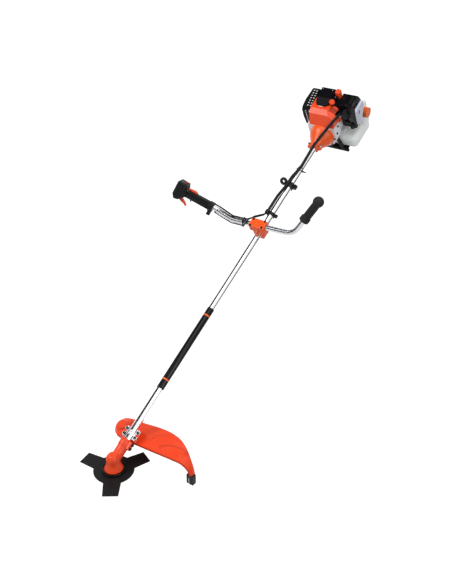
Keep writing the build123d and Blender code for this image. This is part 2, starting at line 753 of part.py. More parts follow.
def cable_ties():
    """Two cable ties: one round bar and cables, one round tube and loom."""
    along = (left_bend - right_bend).normalized()
    spot = beside_bar(bar_tie_x, 0, 0)
    inner = bar_r + 2 * cable_r + 1
    band = Plane(origin=spot, z_dir=along).location * (Cylinder(inner + 1.2, 4) - Cylinder(inner, 5))
    tail = block(bar_tie_x - 1.5, bar_tie_x + 1.5, spot.Y - 5, spot.Y - 2, spot.Z + inner + 0.4, spot.Z + inner + 12)
    inner = tube_r + loom_r + tie_off / 2 + 0.6
    turn = math.radians(tie_turn)
    shift = loom_r + tie_off / 2
    x, z = shift * math.cos(turn), shift * math.sin(turn)
    tube_tie = rod(inner + 1.2, tube_tie_y - 2, tube_tie_y + 2, x, z)
    tube_tie -= rod(inner, tube_tie_y - 3, tube_tie_y + 3, x, z)
    tube_tie += block(x + inner, x + inner + 9, tube_tie_y - 1.5, tube_tie_y + 1.5, z - 3, z)
    return [band + tail, tube_tie]


def cable_clip():
    """Clip on the tube that holds the loom, with a screw lug on the other side."""
    y0, y1 = clip_y - 7, clip_y + 7
    held = on_tube(clip_y, clip_turn, clip_off)
    x, z = held.X, held.Z
    clip = rod(tube_r + 3, y0, y1) + rod(loom_r + 3, y0, y1, x, z)
    clip += block(tube_r - 1, tube_r + 15, y0, y1, -5, 5, 2)
    clip -= rod(tube_r, y0 - 1, y1 + 1)
    clip -= rod(loom_r, y0 - 1, y1 + 1, x, z)
    clip -= rod(loom_r + 2, y0 - 1, clip_y - 4, x, z)
    return clip - block(tube_r - 2, tube_r + 16, y0 - 1, y1 + 1, -0.7, 0.7)


def harness_clamp():
    """Clamp on the tube with the round eye that the harness hook goes through."""
    y0, y1 = eye_y - 11, eye_y + 11
    band = ring(tube_r, tube_r + band_t, y0, y1)
    lug = block(tube_r + 1, tube_r + 19, y0 + 2, y1 - 2, -6, 6, 2)
    arm = block(-eye_t / 2, eye_t / 2, eye_y - 9, eye_y + 9, tube_r + 1, eye_reach)
    eye = bolt(eye_r, -eye_t / 2, eye_t / 2, eye_y, eye_reach)
    eye = fillet(eye.edges().filter_by(GeomType.CIRCLE), 1.5)
    eye_part = Rot(0, -eye_turn, 0) * (arm + eye)
    clamp = band + lug + eye_part
    clamp -= rod(tube_r, y0 - 1, y1 + 1)
    clamp -= Rot(0, -eye_turn, 0) * bolt(eye_hole_r, -10, 10, eye_y, eye_reach)
    return clamp - block(tube_r - 1, tube_r + 20, y0 - 1, y1 + 1, -0.8, 0.8)


# ---------------------------------------------------------------- engine (shaft frame, cylinder up)
def clutch_case():
    """Cone from the collar on the tube to the cowl, with the drum bearing seat."""
    profile = [(0, 0), (collar_r, 0), (collar_r, 18), (collar_r + 4, 26), (45, 56), (case_big_r - 1, 68),
               (case_big_r, case_length), (0, case_length)]
    outline = make_face(Polyline(*profile, close=True))
    body = Pos(0, collar_y, 0) * revolve(outline, Axis.Y)
    body += block(-collar_r - 9, collar_r + 9, collar_y + 1, collar_y + 25, -7, 7, 3)
    for turn in range(6):
        rib = prism_x([(collar_y + 22, 20), (collar_y + 25, 26), (collar_y + 58, 48), (collar_y + 66, 48),
                       (collar_y + 66, 20)], -2, 2)
        body += Rot(0, 30 + turn * 60, 0) * rib
    seat, open_y = tube_end - collar_y + 1, drum_y - collar_y
    race_r, room_r = drum_bearing[1] / 2, drum_r + 3.5
    inner = [(0, seat), (race_r, seat), (race_r, open_y), (room_r - 1, open_y), (room_r, open_y + 5),
             (room_r, case_length + 1), (0, case_length + 1)]
    body -= Pos(0, collar_y, 0) * revolve(make_face(Polyline(*inner, close=True)), Axis.Y)
    body -= rod(tube_r, collar_y - 1, tube_end)
    body -= rod(drum_bearing[0] / 2 + clear, tube_end - 1, drum_y)
    body -= block(-collar_r - 12, collar_r + 12, collar_y - 1, collar_y + 30, -0.8, 0.8)
    return body


def clutch_drum():
    """Clutch drum on the shaft that drives the long drive shaft."""
    drum = rod(drum_r, drum_y + 1, drum_y + drum_w) - rod(drum_r - 2.5, drum_y + 3.5, drum_y + drum_w + 1)
    hub = rod(drum_bearing[0] / 2, tube_end + 1, drum_y + 2)
    return drum + hub - rod(drive_d / 2, tube_end, drum_y + 3)


def drum_race():
    start = tube_end + 1.5
    return ring(drum_bearing[0] / 2 + run_fit, drum_bearing[1] / 2, start, start + drum_bearing[2])


def clutch_shoes():
    """Two swinging shoes on their carrier plate."""
    y0, y1 = drum_y + 6, drum_y + drum_w - 2
    shoe_r = drum_r - 2.5 - 0.8
    full = ring(22, shoe_r, y0, y1)
    shoes = full - block(-shoe_r - 1, shoe_r + 1, y0 - 1, y1 + 1, -3.5, 3.5)
    pins = rod(4, y1 - 4, y1 + 6, 27, 12) + rod(4, y1 - 4, y1 + 6, -27, -12)
    return shoes + pins


def flywheel():
    y0 = cowl_y + 5
    wheel = rod(flywheel_r, y0 + 12, y0 + 20)
    for index in range(18):
        fin = Rot(0, index * 20, 0) * block(-1.2, 1.2, y0 + 4, y0 + 13, 26, flywheel_r - 1)
        wheel += fin
    wheel += rod(17, y0 + 2, y0 + 26)
    for x, z in ((27, 12), (-27, -12)):
        wheel += rod(7, y0 - 1, y0 + 13, x, z)
        wheel -= rod(4, y0 - 2, y0 + 8, x, z)
    return wheel - rod(crank_r, y0 - 5, y0 + 40)


def crankshaft():
    y0 = cowl_y + 7
    shaft = rod(crank_r, y0, cylinder_y - 12)
    shaft += rod(web_r, cylinder_y - 14, cylinder_y - 6) + rod(web_r, cylinder_y + 6, cylinder_y + 14)
    shaft += rod(6, cylinder_y - 7, cylinder_y + 7, 0, piston_stroke / 2)
    return shaft + rod(crank_r, cylinder_y + 12, block_end + 8)


def fan_profile(inset):
    """Front outline of the fan case: round below, straight sides above."""
    r = fan_r - inset
    return Circle(r) + Pos(0, fan_top / 2) * Rectangle(2 * r, fan_top) - Pos(0, fan_top + 50) * Rectangle(3 * r, 100)


def fan_case():
    """Cast fan case in front of the crankcase, open towards the cowl above it."""
    case = extrude(Plane.XZ.offset(-cowl_y) * fan_profile(0), -cowl_depth)
    room = extrude(Plane.XZ.offset(-cowl_y - cowl_wall) * fan_profile(cowl_wall), -(cowl_depth - 2 * cowl_wall))
    case -= room - block(-fan_r, fan_r, cowl_y - 1, block_y, fan_top - cowl_wall, fan_top)
    case -= cowl_room()
    return case - rod(44, cowl_y - 1, cowl_y + cowl_wall + 1)


def crankcase():
    body = block(-38, 38, block_y + 6, block_end - 2, -37, 34, 5)
    body += rod(34, block_y, block_y + 10) + fan_case()
    body += block(-38, 38, cylinder_y - 36, cylinder_y + 36, 20, 34)
    body += rod(30, block_end - 4, block_end)
    body -= rod(web_r + 3, cylinder_y - 17, cylinder_y + 17)
    body -= rod(crank_r + run_fit, block_y - cowl_wall - 1, block_end + 1)
    body -= post(cylinder_bore / 2 + 2, 0, 40, 0, cylinder_y)
    return body


def cylinder():
    """Air-cooled cylinder with square fins, ports and a slanted plug seat."""
    barrel = post(26, 34, 94, 0, cylinder_y)
    for index in range(7):
        level = 38 + index * 7.6
        fin = block(-35, 35, cylinder_y - 34, cylinder_y + 34, level, level + 2.2)
        barrel += fin
    barrel += block(30, 40, cylinder_y - 4, cylinder_y + 24, 40, 62)
    barrel += block(-40, -30, cylinder_y - 16, cylinder_y + 16, 46, 70)
    barrel -= post(cylinder_bore / 2, 33, 90, 0, cylinder_y)
    barrel -= bolt(8, 15, 41, cylinder_y + 10, 51)
    barrel -= bolt(9, -41, -15, cylinder_y, 58)
    barrel -= plug_axis().location * (post(5, -6, 20) + post(9, 16, 60))
    return barrel


def piston():
    crown, skirt = 88.0, 60.0
    body = post(cylinder_bore / 2 - 0.05, skirt, crown, 0, cylinder_y)
    body -= post(cylinder_bore / 2 - 3, skirt - 1, crown - 4, 0, cylinder_y)
    return body + bolt(5, -17.5, 17.5, cylinder_y, 72)


def cowl_profile(inset):
    """Front outline of the cowl above the fan case, with its right shoulder."""
    r, top = fan_r - 1 - inset, duct_top - inset
    return make_face(Polyline((-r, fan_top), (-r, top - 8), (-r + 6, top), (14 - inset * 0.3, top),
                              (r - 2, 75 - inset * 1.2), (r, fan_top), close=True))


def cowl_nose(inset):
    """What the sloping front and the narrow left corner of the cowl take away."""
    low = fan_top - 4
    front = prism_x([(cowl_y - 5, low), (cowl_y + inset, low), (cowl_y + inset, fan_top + 2 - inset),
                     (cowl_y + 22 + inset, 90 - inset * 0.6), (cowl_y + 48, duct_top + 2 - inset),
                     (cowl_y + 48, duct_top + 9), (cowl_y - 5, duct_top + 9)], -fan_r - 9, fan_r + 9)
    corner = [(-fan_r - 9, cowl_y - 5), (-49 + inset, cowl_y - 5), (-50 + inset, cowl_y + inset),
              (-fan_r + inset, block_y + 2), (-fan_r - 9, block_y + 2)]
    return front + prism_z(corner, low, duct_top + 9)


def cowl_room():
    """Air space inside the cowl."""
    room = extrude(Plane.XZ.offset(-cowl_y) * cowl_profile(cowl_wall), -cowl_depth - 1)
    room += Pos(0, 0, -cowl_wall - 1) * room
    return room - cowl_nose(cowl_wall)


def engine_cowl():
    """Cowl that leads cooling air from the fan case over the cylinder."""
    body = extrude(Plane.XZ.offset(-cowl_y) * cowl_profile(0), -cowl_depth)
    body = body - cowl_nose(0) - cowl_room()
    duct = block(-59, 24, block_y - 2, block_end, duct_top - 8, duct_top, 3)
    duct -= block(-56, 21, block_y - 10, block_end - 3, duct_top - 20, duct_top - 3)
    bulge = block(18, 40, cylinder_y + 14, block_end, duct_top - 8, cover_top - 1, 7)
    wing = [(block_y - 10, fan_top + 2), (block_y - 10, 72), (block_y + 2, 70), (block_y + 22, fan_top - 2),
            (block_y + 22, fan_top - 14), (block_y + clear, fan_top - 14), (block_y + clear, fan_top + 2)]
    body += duct + bulge + prism_x(wing, fan_r - 1 - cowl_wall, fan_r - 1)
    body -= post(27, duct_top - 20, duct_top - 3, 0, cylinder_y)
    return body - plug_axis().location * post(boot_r + 1, 2, 80)


def cylinder_cover():
    """Black angular hood over the cylinder head, with a lower step round the plug boot."""
    x0, x1, y0, y1, z0 = -42, 17, cylinder_y - 45, block_end - 1, duct_top + 0.2
    plan = [(x0, y1), (x0, y0 + 9), (x0 + 8, y0), (0, y0), (x1, y0 + 15), (x1, y1)]
    outline = [(y0, z0), (y0 + 1, z0 + 5), (y0 + 26, cover_top - 5), (y1 - 9, cover_top), (y1, z0 + 12), (y1, z0)]
    hood = prism_z(plan, z0, cover_top + 1) & prism_x(outline, x0, x1)
    hood += block(x1 - 6, x1 + 17, y0 + 13, y0 + 57, z0, z0 + 13)
    hood -= block(x0 + 2.5, x1 - 2.5, y0 + 28, y1 - 3, z0 - 10, cover_top - 8)
    return hood - plug_axis().location * post(boot_r + 1, 0, 80)


def plug_axis():
    start = Vector(2, cylinder_y - 6, 92)
    end = Vector(24, cylinder_y - 24, 112)
    return Plane(origin=start, z_dir=(end - start).normalized())


def spark_plug():
    frame = plug_axis()
    plug = post(5, 4, 16) + Pos(0, 0, 16) * extrude(RegularPolygon(8, 6), 7)
    return frame.location * (plug + post(5, 23, 40))


def plug_boot():
    frame = plug_axis()
    boot = post(boot_r, 25, 47)
    boot = fillet(boot.edges().sort_by(Axis.Z)[-1], 4)
    return frame.location * (boot - post(5, 20, 40.2))


def muffler():
    body = block(-94, -60, cylinder_y - 36, cylinder_y + 32, 4, 81, 6)
    body += block(-60, -41, cylinder_y - 15, cylinder_y + 15, 47, 69)
    return body - bolt(9, -75, -40, cylinder_y, 58)


def muffler_guard():
    """Perforated heat shield round the muffler, held on two spacers."""
    y0, y1 = cylinder_y - 58, cylinder_y + 40
    outline = [(-61.5, 110), (-88, 110), (-103, 94), (-105, 40), (-99, -12), (-90, -21), (-61.5, -21)]
    inner = [(-50, 107.5), (-87, 107.5), (-100.5, 93), (-102.5, 40), (-96.6, -11), (-89, -18.5), (-50, -18.5)]
    side_view = [(y0, -3), (y0, 76), (y0 + 10, 86), (y1 - 11, 107), (y1, 104), (y1, -21), (y0 + 12, -21)]
    side_room = [(y0 + 2.5, -2), (y0 + 2.5, 75), (y0 + 11, 83.5), (y1 - 11, 104.4), (y1 - 2.5, 101.5),
                 (y1 - 2.5, -18.5), (y0 + 13, -18.5)]
    shell = prism_y(outline, y0, y1) & prism_x(side_view, -110, -60)
    shell -= prism_y(inner, y0, y1) & prism_x(side_room, -110, -50)
    for row in range(7):
        level = -1 + row * 11.5
        shell -= bolt(2.2, -95, -110, y0 + 22, level) + bolt(2.2, -95, -110, y0 + 42, level)
        if row < 6:
            shell -= rod(2.2, y0 - 1, y0 + 8, -74, level + 4) + rod(2.2, y0 - 1, y0 + 8, -86, level + 4)
    for level in (18, 64):
        shell += bolt(5, -101.5, -94, cylinder_y + 12, level)
    return shell


def carburettor():
    """Carburettor with the arm that carries the primer below the air cleaner."""
    y = cylinder_y + 10
    body = block(40, 60, y - 14, y + 14, 38, 66, 2)
    body += bolt(11, 58, 62, y, 52)
    body -= bolt(7, 39, 63, y, 52)
    body += block(44, 53, filter_y0 + 4, filter_y0 + 17, primer_z - 12, 42)
    body += block(44, primer_x + 14, filter_y0 + 4, filter_y0 + 17, primer_z - 12, primer_z + 12)
    body -= rod(primer_r + clear, filter_y0, filter_y0 + 10, primer_x, primer_z)
    return body + rod(4, carburettor_front + 1, y - 13, *loom_end)


def filter_outline(inset):
    return [(44 + inset, 108), (103 - inset * 0.5, 108), (114 - inset, 92), (120 - inset, 77), (116 - inset, -1 + inset),
            (87 + inset, -1 + inset), (81 + inset, 15 + inset), (54 + inset, 15 + inset),
            (54 + inset, 46 + inset * 0.4), (44 + inset, 52 + inset * 0.4)]


def filter_side(inset):
    """Side view: the top rises towards the back."""
    return [(filter_y0 + inset, -10), (filter_y0 + inset, 93 - inset), (filter_y0 + 3 + inset, 96 - inset),
            (filter_y1 - 3 - inset, 105 - inset), (filter_y1 - inset, 102 - inset), (filter_y1 - inset, -10)]


def air_filter_cover():
    """Air cleaner housing with its intake shroud, back plate and raised rim plate."""
    wall = 2.5
    shell = prism_y(filter_outline(0), filter_y0, filter_y1) & prism_x(filter_side(0), 30, 130)
    shell -= prism_y(filter_outline(wall), filter_y0, filter_y1) & prism_x(filter_side(wall), 30, 130)
    shell -= block(40, 61.9, filter_y0 + wall, filter_y1 - 6, 10, 70)
    shell += block(62, 62 + wall, filter_y0 + 1, filter_y1 - 1, 16, 94)
    rim = [(filter_y0 - 3, 9), (filter_y0 - 3, 74), (filter_y0 + 3, 80), (filter_y1, 84), (filter_y1 + 3, 60),
           (filter_y0 + 26, 2), (filter_y0 + 6, -1)]
    shell += prism_x(rim, 117, 124)
    shell -= rod(loom_r + 1, filter_y0 - 5, filter_y0 + wall + 1, *loom_end)
    return shell - bolt(8, 60, 66, cylinder_y + 10, 52)


def primer_bulb():
    seat = filter_y0 - 1
    dome = Pos(primer_x, seat, primer_z) * Sphere(primer_r - 1)
    dome = dome & block(primer_x - 20, primer_x + 20, seat - 12, seat, primer_z - 20, primer_z + 20)
    return dome + rod(primer_r, seat, seat + 6, primer_x, primer_z)


def tank_body(inset, soft):
    x0, x1 = tank_half[0] + inset, tank_half[1] - inset
    y0, y1 = cylinder_y - 42 + inset, cylinder_y + 98 - inset
    lower = block(x0, x1, y0, y1, tank_floor + inset, tank_roof - inset, soft)
    lobe = block(64 + inset, x1, filter_y1 + 6 + inset, y1, tank_roof - 20, 46 - inset, 14 - inset)
    return lower + lobe


def fuel_tank():
    """Blow-moulded tank with a filler lobe beside the starter."""
    tank = tank_body(0, 22) - tank_body(tank_wall, 22 - tank_wall)
    tank += bolt(19, tank_half[1] - 4, tank_half[1] + 4, cap_y, cap_z)
    return tank - bolt(15, tank_half[1] - 20, tank_half[1] + 5, cap_y, cap_z)


def fuel_cap():
    mouth = tank_half[1]
    cap = bolt(cap_r, mouth + clear, mouth + 19, cap_y, cap_z)
    cap -= bolt(19 + clear, mouth - 1, mouth + 4 + clear, cap_y, cap_z)
    for index in range(12):
        angle = math.radians(index * 30)
        y, z = cap_y + (cap_r + 1) * math.cos(angle), cap_z + (cap_r + 1) * math.sin(angle)
        cap -= bolt(2.2, mouth, mouth + 20, y, z)
    return cap + bolt(14.6, mouth - 2, mouth + 8, cap_y, cap_z)


def engine_stand():
    """Foot under the engine that keeps the tank off the ground."""
    y0, floor = block_y + 1, tank_floor - 9
    foot = block(-70, 74, y0, y0 + 12, floor, floor + 12, 3)
    foot += block(-66, 64, y0 + 2, cylinder_y + 50, floor, floor + 4)
    for x in (-52, 44):
        leg = [(x, floor + 8), (x + 10, floor + 8), (x * 0.45 + 8, -38), (x * 0.45 - 6, -38)]
        foot += prism_y(leg, y0 + 1, y0 + 11)
    return foot + block(-30, 34, y0, y0 + 36, -44, -37)


def recoil_housing():
    body = rod(recoil_r, recoil_y0, recoil_y1) - rod(recoil_r - 3, recoil_y0 - 1, recoil_y1 - 3)
    body += rod(6, recoil_y0 + 11, recoil_y1 - 2)
    for turn in range(12):
        slot = Rot(0, turn * 30, 0) * block(-3.5, 3.5, recoil_y1 - 5, recoil_y1 + 1, 20, 44)
        body -= slot
    body += Rot(0, rope_turn, 0) * post(8, recoil_r - 6, recoil_r + 6, 0, recoil_y0 + 17)
    return body - Rot(0, rope_turn, 0) * post(3, recoil_r - 8, recoil_r + 8, 0, recoil_y0 + 17)


def recoil_pulley():
    """Rope pulley of the recoil starter, on the post inside the housing."""
    y0 = recoil_y0 + 12
    wheel = rod(pulley_r + 6, y0, y0 + 12) - ring(pulley_r, pulley_r + 8, y0 + 2, y0 + 10)
    return wheel - rod(6 + run_fit, y0 - 1, y0 + 13)


def recoil_handle():
    y = recoil_y0 + 17
    grip = block(-25, 25, y - 8, y + 8, recoil_r + 7, recoil_r + 21, 5)
    grip += post(5.5, recoil_r + 6 + clear, recoil_r + 10, 0, y)
    return Rot(0, rope_turn, 0) * grip


# ---------------------------------------------------------------- all pieces
keep("gear_case", gear_case_with_holes(), to_head)
keep("gear_case_screws", case_screws(), to_head)
keep("pinion", pinion(), to_head)
keep("head_bearings", head_bearings(), to_head)
keep("output_gear", output_gear(), to_head)
keep("output_spindle", output_spindle(), to_head)
keep("inner_flange", inner_flange(), to_head)
keep("blade", blade(), to_head)
keep("outer_flange", outer_flange(), to_head)
keep("blade_nut", blade_nut(), to_head)
keep("guard", guard_with_holes(), to_head)
keep("guard_saddle", guard_saddle(), to_shaft)
keep("guard_screws", guard_screws(), to_shaft)
keep("knife_block", knife_block(), to_head)
keep("line_knife", line_knife(), to_head)

keep("shaft_tube", shaft_tube(), to_shaft)
keep("drive_shaft", drive_shaft(), to_shaft)
keep("shaft_bushes", shaft_bushes(), to_shaft)

keep("handlebar", handlebar(), to_shaft)
keep("bar_clamp_base", bar_clamp_base(), to_shaft)
keep("bar_clamp_cap", bar_clamp_cap(), to_shaft)
keep("bar_clamp_screws", bar_clamp_screws(), to_shaft)
keep("left_grip", left_grip(), to_shaft)

handle_place = throttle_plane().location
shell_front, shell_rear = throttle_shells()
keep("throttle_front_shell", handle_place * shell_front, to_shaft)
keep("throttle_rear_shell", handle_place * shell_rear, to_shaft)
keep("trigger", handle_place * trigger(), to_shaft)
keep("lock_out_lever", handle_place * lock_out_lever(), to_shaft)
keep("throttle_pins", handle_place * throttle_pins(0.0), to_shaft)
keep("stop_switch", handle_place * stop_switch(), to_shaft)
keep("half_throttle_button", handle_place * half_throttle_button(), to_shaft)
keep("throttle_collar", handle_place * throttle_collar(), to_shaft)

keep("control_cables", control_cables(), to_shaft)
keep("cable_loom", cable_loom(), to_shaft)
keep("cable_ties", cable_ties(), to_shaft)
keep("cable_clip", cable_clip(), to_shaft)
keep("harness_clamp", harness_clamp(), to_shaft)

keep("clutch_case", clutch_case(), to_shaft)
keep("drum_bearing", drum_race(), to_shaft)
keep("clutch_drum", clutch_drum(), to_shaft)
keep("clutch_shoes", clutch_shoes(), to_shaft)
keep("flywheel", flywheel(), to_shaft)
keep("crankshaft", crankshaft(), to_shaft)
keep("crankcase", crankcase(), to_shaft)
keep("cylinder", cylinder(), to_shaft)
keep("piston", piston(), to_shaft)
keep("engine_cowl", engine_cowl(), to_shaft)
keep("cylinder_cover", cylinder_cover(), to_shaft)
keep("spark_plug", spark_plug(), to_shaft)
keep("plug_boot", plug_boot(), to_shaft)
keep("muffler", muffler(), to_shaft)
keep("muffler_guard", muffler_guard(), to_shaft)
keep("carburettor", carburettor(), to_shaft)
keep("air_filter_cover", air_filter_cover(), to_shaft)
keep("primer_bulb", primer_bulb(), to_shaft)
keep("fuel_tank", fuel_tank(), to_shaft)
keep("fuel_cap", fuel_cap(), to_shaft)
keep("engine_stand", engine_stand(), to_shaft)
keep("recoil_housing", recoil_housing(), to_shaft)
keep("recoil_pulley", recoil_pulley(), to_shaft)
keep("recoil_handle", recoil_handle(), to_shaft)

os.makedirs("parts", exist_ok=True)
for name, shape in parts.items():
    export_step(shape, f"parts/{name}.step")
print(len(parts), "pieces")
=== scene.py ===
import bpy
import bmesh
import json
import math
from mathutils import Matrix, Vector
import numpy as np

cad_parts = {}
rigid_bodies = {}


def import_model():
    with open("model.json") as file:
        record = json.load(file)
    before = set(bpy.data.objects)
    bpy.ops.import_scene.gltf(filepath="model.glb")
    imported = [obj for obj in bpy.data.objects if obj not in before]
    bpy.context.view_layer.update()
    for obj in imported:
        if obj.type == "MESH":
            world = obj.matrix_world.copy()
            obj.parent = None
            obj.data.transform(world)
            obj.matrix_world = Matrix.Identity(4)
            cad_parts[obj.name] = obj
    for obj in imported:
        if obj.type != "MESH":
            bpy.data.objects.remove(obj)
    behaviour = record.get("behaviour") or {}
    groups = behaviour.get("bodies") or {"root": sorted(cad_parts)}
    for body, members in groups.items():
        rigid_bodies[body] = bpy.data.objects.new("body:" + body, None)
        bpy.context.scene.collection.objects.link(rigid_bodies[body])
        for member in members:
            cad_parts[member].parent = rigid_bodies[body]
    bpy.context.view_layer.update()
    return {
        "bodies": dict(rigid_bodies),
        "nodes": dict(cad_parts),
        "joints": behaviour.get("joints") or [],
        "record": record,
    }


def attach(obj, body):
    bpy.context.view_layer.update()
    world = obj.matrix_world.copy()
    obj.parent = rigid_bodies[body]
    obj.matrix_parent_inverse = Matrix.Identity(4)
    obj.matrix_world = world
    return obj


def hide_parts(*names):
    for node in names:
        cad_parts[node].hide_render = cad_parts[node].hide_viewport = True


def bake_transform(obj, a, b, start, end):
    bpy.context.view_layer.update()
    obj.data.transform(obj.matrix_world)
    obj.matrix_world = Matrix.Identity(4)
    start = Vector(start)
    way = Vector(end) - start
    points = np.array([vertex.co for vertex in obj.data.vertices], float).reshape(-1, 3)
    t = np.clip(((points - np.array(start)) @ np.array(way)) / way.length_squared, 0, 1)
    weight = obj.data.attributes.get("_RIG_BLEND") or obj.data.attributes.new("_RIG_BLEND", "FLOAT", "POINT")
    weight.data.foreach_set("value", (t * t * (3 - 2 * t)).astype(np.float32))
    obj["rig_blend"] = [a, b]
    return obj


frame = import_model()
nodes = frame["nodes"]
mm = 0.001
sharpAngle = 35     # degrees: edges with a larger angle are rounded or stay sharp

# the pieces are drawn in millimetres in two frames, the blade head's and the tube's
slope = math.radians(30)
crossing = Vector((21.92, -1081.10, -649.48)) * mm
headFrame = Matrix.Translation(crossing) @ Matrix.Scale(mm, 4)
tubeFrame = Matrix.Translation(crossing) @ Matrix.Rotation(slope, 4, "X") @ Matrix.Scale(mm, 4)

camera = {
    "place": (1.4596, -2.4785, 1.1714),
    "right": (0.81725, 0.57624, 0.00606),
    "up": (-0.29571, 0.41033, 0.86266),
    "forward": (-0.4946, 0.7068, -0.5057),
    "lens": 47.84, "sensor": 36, "farEnd": 50,
}


def makeCamera(values):
    data = bpy.data.cameras.new("camera")
    data.lens = values["lens"]
    data.sensor_width = values["sensor"]
    data.clip_end = values["farEnd"]
    obj = bpy.data.objects.new("camera", data)
    bpy.context.scene.collection.objects.link(obj)
    x, y, z = (Vector(values[key]).normalized() for key in ("right", "up", "forward"))
    turn = Matrix((x, y, -z)).transposed().to_4x4()
    obj.matrix_world = Matrix.Translation(values["place"]) @ turn
    bpy.context.scene.camera = obj


makeCamera(camera)
print("camera set")


# shader groups
def newGroup(name, inputs, outputs):
    tree = bpy.data.node_groups.new(name, "ShaderNodeTree")
    for title, kind, value in inputs:
        socket = tree.interface.new_socket(title, in_out="INPUT", socket_type=kind)
        socket.default_value = value
    for title, kind in outputs:
        tree.interface.new_socket(title, in_out="OUTPUT", socket_type=kind)
    return tree, tree.nodes.new("NodeGroupInput"), tree.nodes.new("NodeGroupOutput")


def addMath(tree, operation, first, second, clamp=False):
    node = tree.nodes.new("ShaderNodeMath")
    node.operation = operation
    node.use_clamp = clamp
    for socket, value in zip(node.inputs, (first, second)):
        if isinstance(value, (int, float)):
            socket.default_value = value
        else:
            tree.links.new(value, socket)
    return node.outputs[0]


def addMix(tree, factor, first, second):
    node = tree.nodes.new("ShaderNodeMix")
    node.data_type = "RGBA"
    tree.links.new(factor, node.inputs["Factor"])
    for socket, value in ((node.inputs["A"], first), (node.inputs["B"], second)):
        if isinstance(value, tuple):
            socket.default_value = value
        else:
            tree.links.new(value, socket)
    return node.outputs["Result"]


def addNoise(tree, vector, size, detail, roughness=0.5):
    node = tree.nodes.new("ShaderNodeTexNoise")
    node.inputs["Detail"].default_value = detail
    node.inputs["Roughness"].default_value = roughness
    tree.links.new(vector, node.inputs["Vector"])
    tree.links.new(addMath(tree, "DIVIDE", 1.0, size), node.inputs["Scale"])
    return node.outputs["Fac"]


# mould grain, slow unevenness, fine scuffs, painted shade along grooves and steps where the mesh carries a
# shade mark, and a little dust on upward faces
wornColour = (0.5, 0.48, 0.45, 1)
# a dark colour mixed in along grooves, creases and steps: painted shade
paintedShadeColour = (0.03, 0.006, 0.002, 1)
dustColour = (0.45, 0.42, 0.38, 1)
scratchTurn = (0.5, 0.0, 0.3)
scratchStretch = (60, 900, 250)


def surfaceGroup():
    tree, source, sink = newGroup(
        "surfaceFinish",
        [("Grain Size", "NodeSocketFloat", 0.0006), ("Mottle Size", "NodeSocketFloat", 0.03),
         ("Tint", "NodeSocketColor", (0.5, 0.5, 0.5, 1)), ("Shade", "NodeSocketColor", (0.4, 0.4, 0.4, 1)),
         ("Scuff", "NodeSocketFloat", 0.1), ("Roughness", "NodeSocketFloat", 0.4),
         ("Roughness Spread", "NodeSocketFloat", 0.1), ("Dust", "NodeSocketFloat", 0.0)],
        [("Color", "NodeSocketColor"), ("Roughness", "NodeSocketFloat"), ("Height", "NodeSocketFloat")])
    take = source.outputs
    coord = tree.nodes.new("ShaderNodeTexCoord").outputs["Object"]
    grain = addNoise(tree, coord, take["Grain Size"], 3)
    mottle = addNoise(tree, coord, take["Mottle Size"], 4, 0.6)
    stretch = tree.nodes.new("ShaderNodeMapping")
    stretch.inputs["Rotation"].default_value = scratchTurn
    stretch.inputs["Scale"].default_value = scratchStretch
    tree.links.new(coord, stretch.inputs["Vector"])
    scratch = tree.nodes.new("ShaderNodeTexNoise")
    scratch.inputs["Scale"].default_value = 1.0
    scratch.inputs["Detail"].default_value = 2
    tree.links.new(stretch.outputs[0], scratch.inputs["Vector"])
    peaks = addMath(tree, "SUBTRACT", scratch.outputs["Fac"], 0.66, True)
    line = addMath(tree, "MULTIPLY", peaks, 6.0, True)
    scuffed = addMath(tree, "MULTIPLY", line, take["Scuff"], True)
    body = addMix(tree, mottle, take["Shade"], take["Tint"])
    wearAndShade = addMix(tree, scuffed, body, wornColour)
    # painted shade: darkens by the mesh's own shade mark, which only the blade guard carries
    paintedShadeNode = tree.nodes.new("ShaderNodeAttribute")
    paintedShadeNode.attribute_name = "paintedShade"
    paintedShadeAmount = addMath(tree, "MULTIPLY", paintedShadeNode.outputs["Fac"], 0.85, True)
    wearAndShade = addMix(tree, paintedShadeAmount, wearAndShade, paintedShadeColour)
    split = tree.nodes.new("ShaderNodeSeparateXYZ")
    tree.links.new(tree.nodes.new("ShaderNodeNewGeometry").outputs["Normal"], split.inputs[0])
    upward = addMath(tree, "MULTIPLY", addMath(tree, "MAXIMUM", split.outputs["Z"], 0.0), take["Dust"])
    dusty = addMix(tree, addMath(tree, "MULTIPLY", upward, mottle, True), wearAndShade, dustColour)
    spread = addMath(tree, "MULTIPLY", addMath(tree, "SUBTRACT", mottle, 0.5), take["Roughness Spread"])
    uneven = addMath(tree, "ADD", take["Roughness"], spread)
    rough = addMath(tree, "ADD", uneven, addMath(tree, "MULTIPLY", scuffed, 0.4), True)
    tree.links.new(dusty, sink.inputs["Color"])
    tree.links.new(rough, sink.inputs["Roughness"])
    tree.links.new(addMath(tree, "SUBTRACT", grain, scuffed), sink.inputs["Height"])
    return tree


surfaceFinish = surfaceGroup()


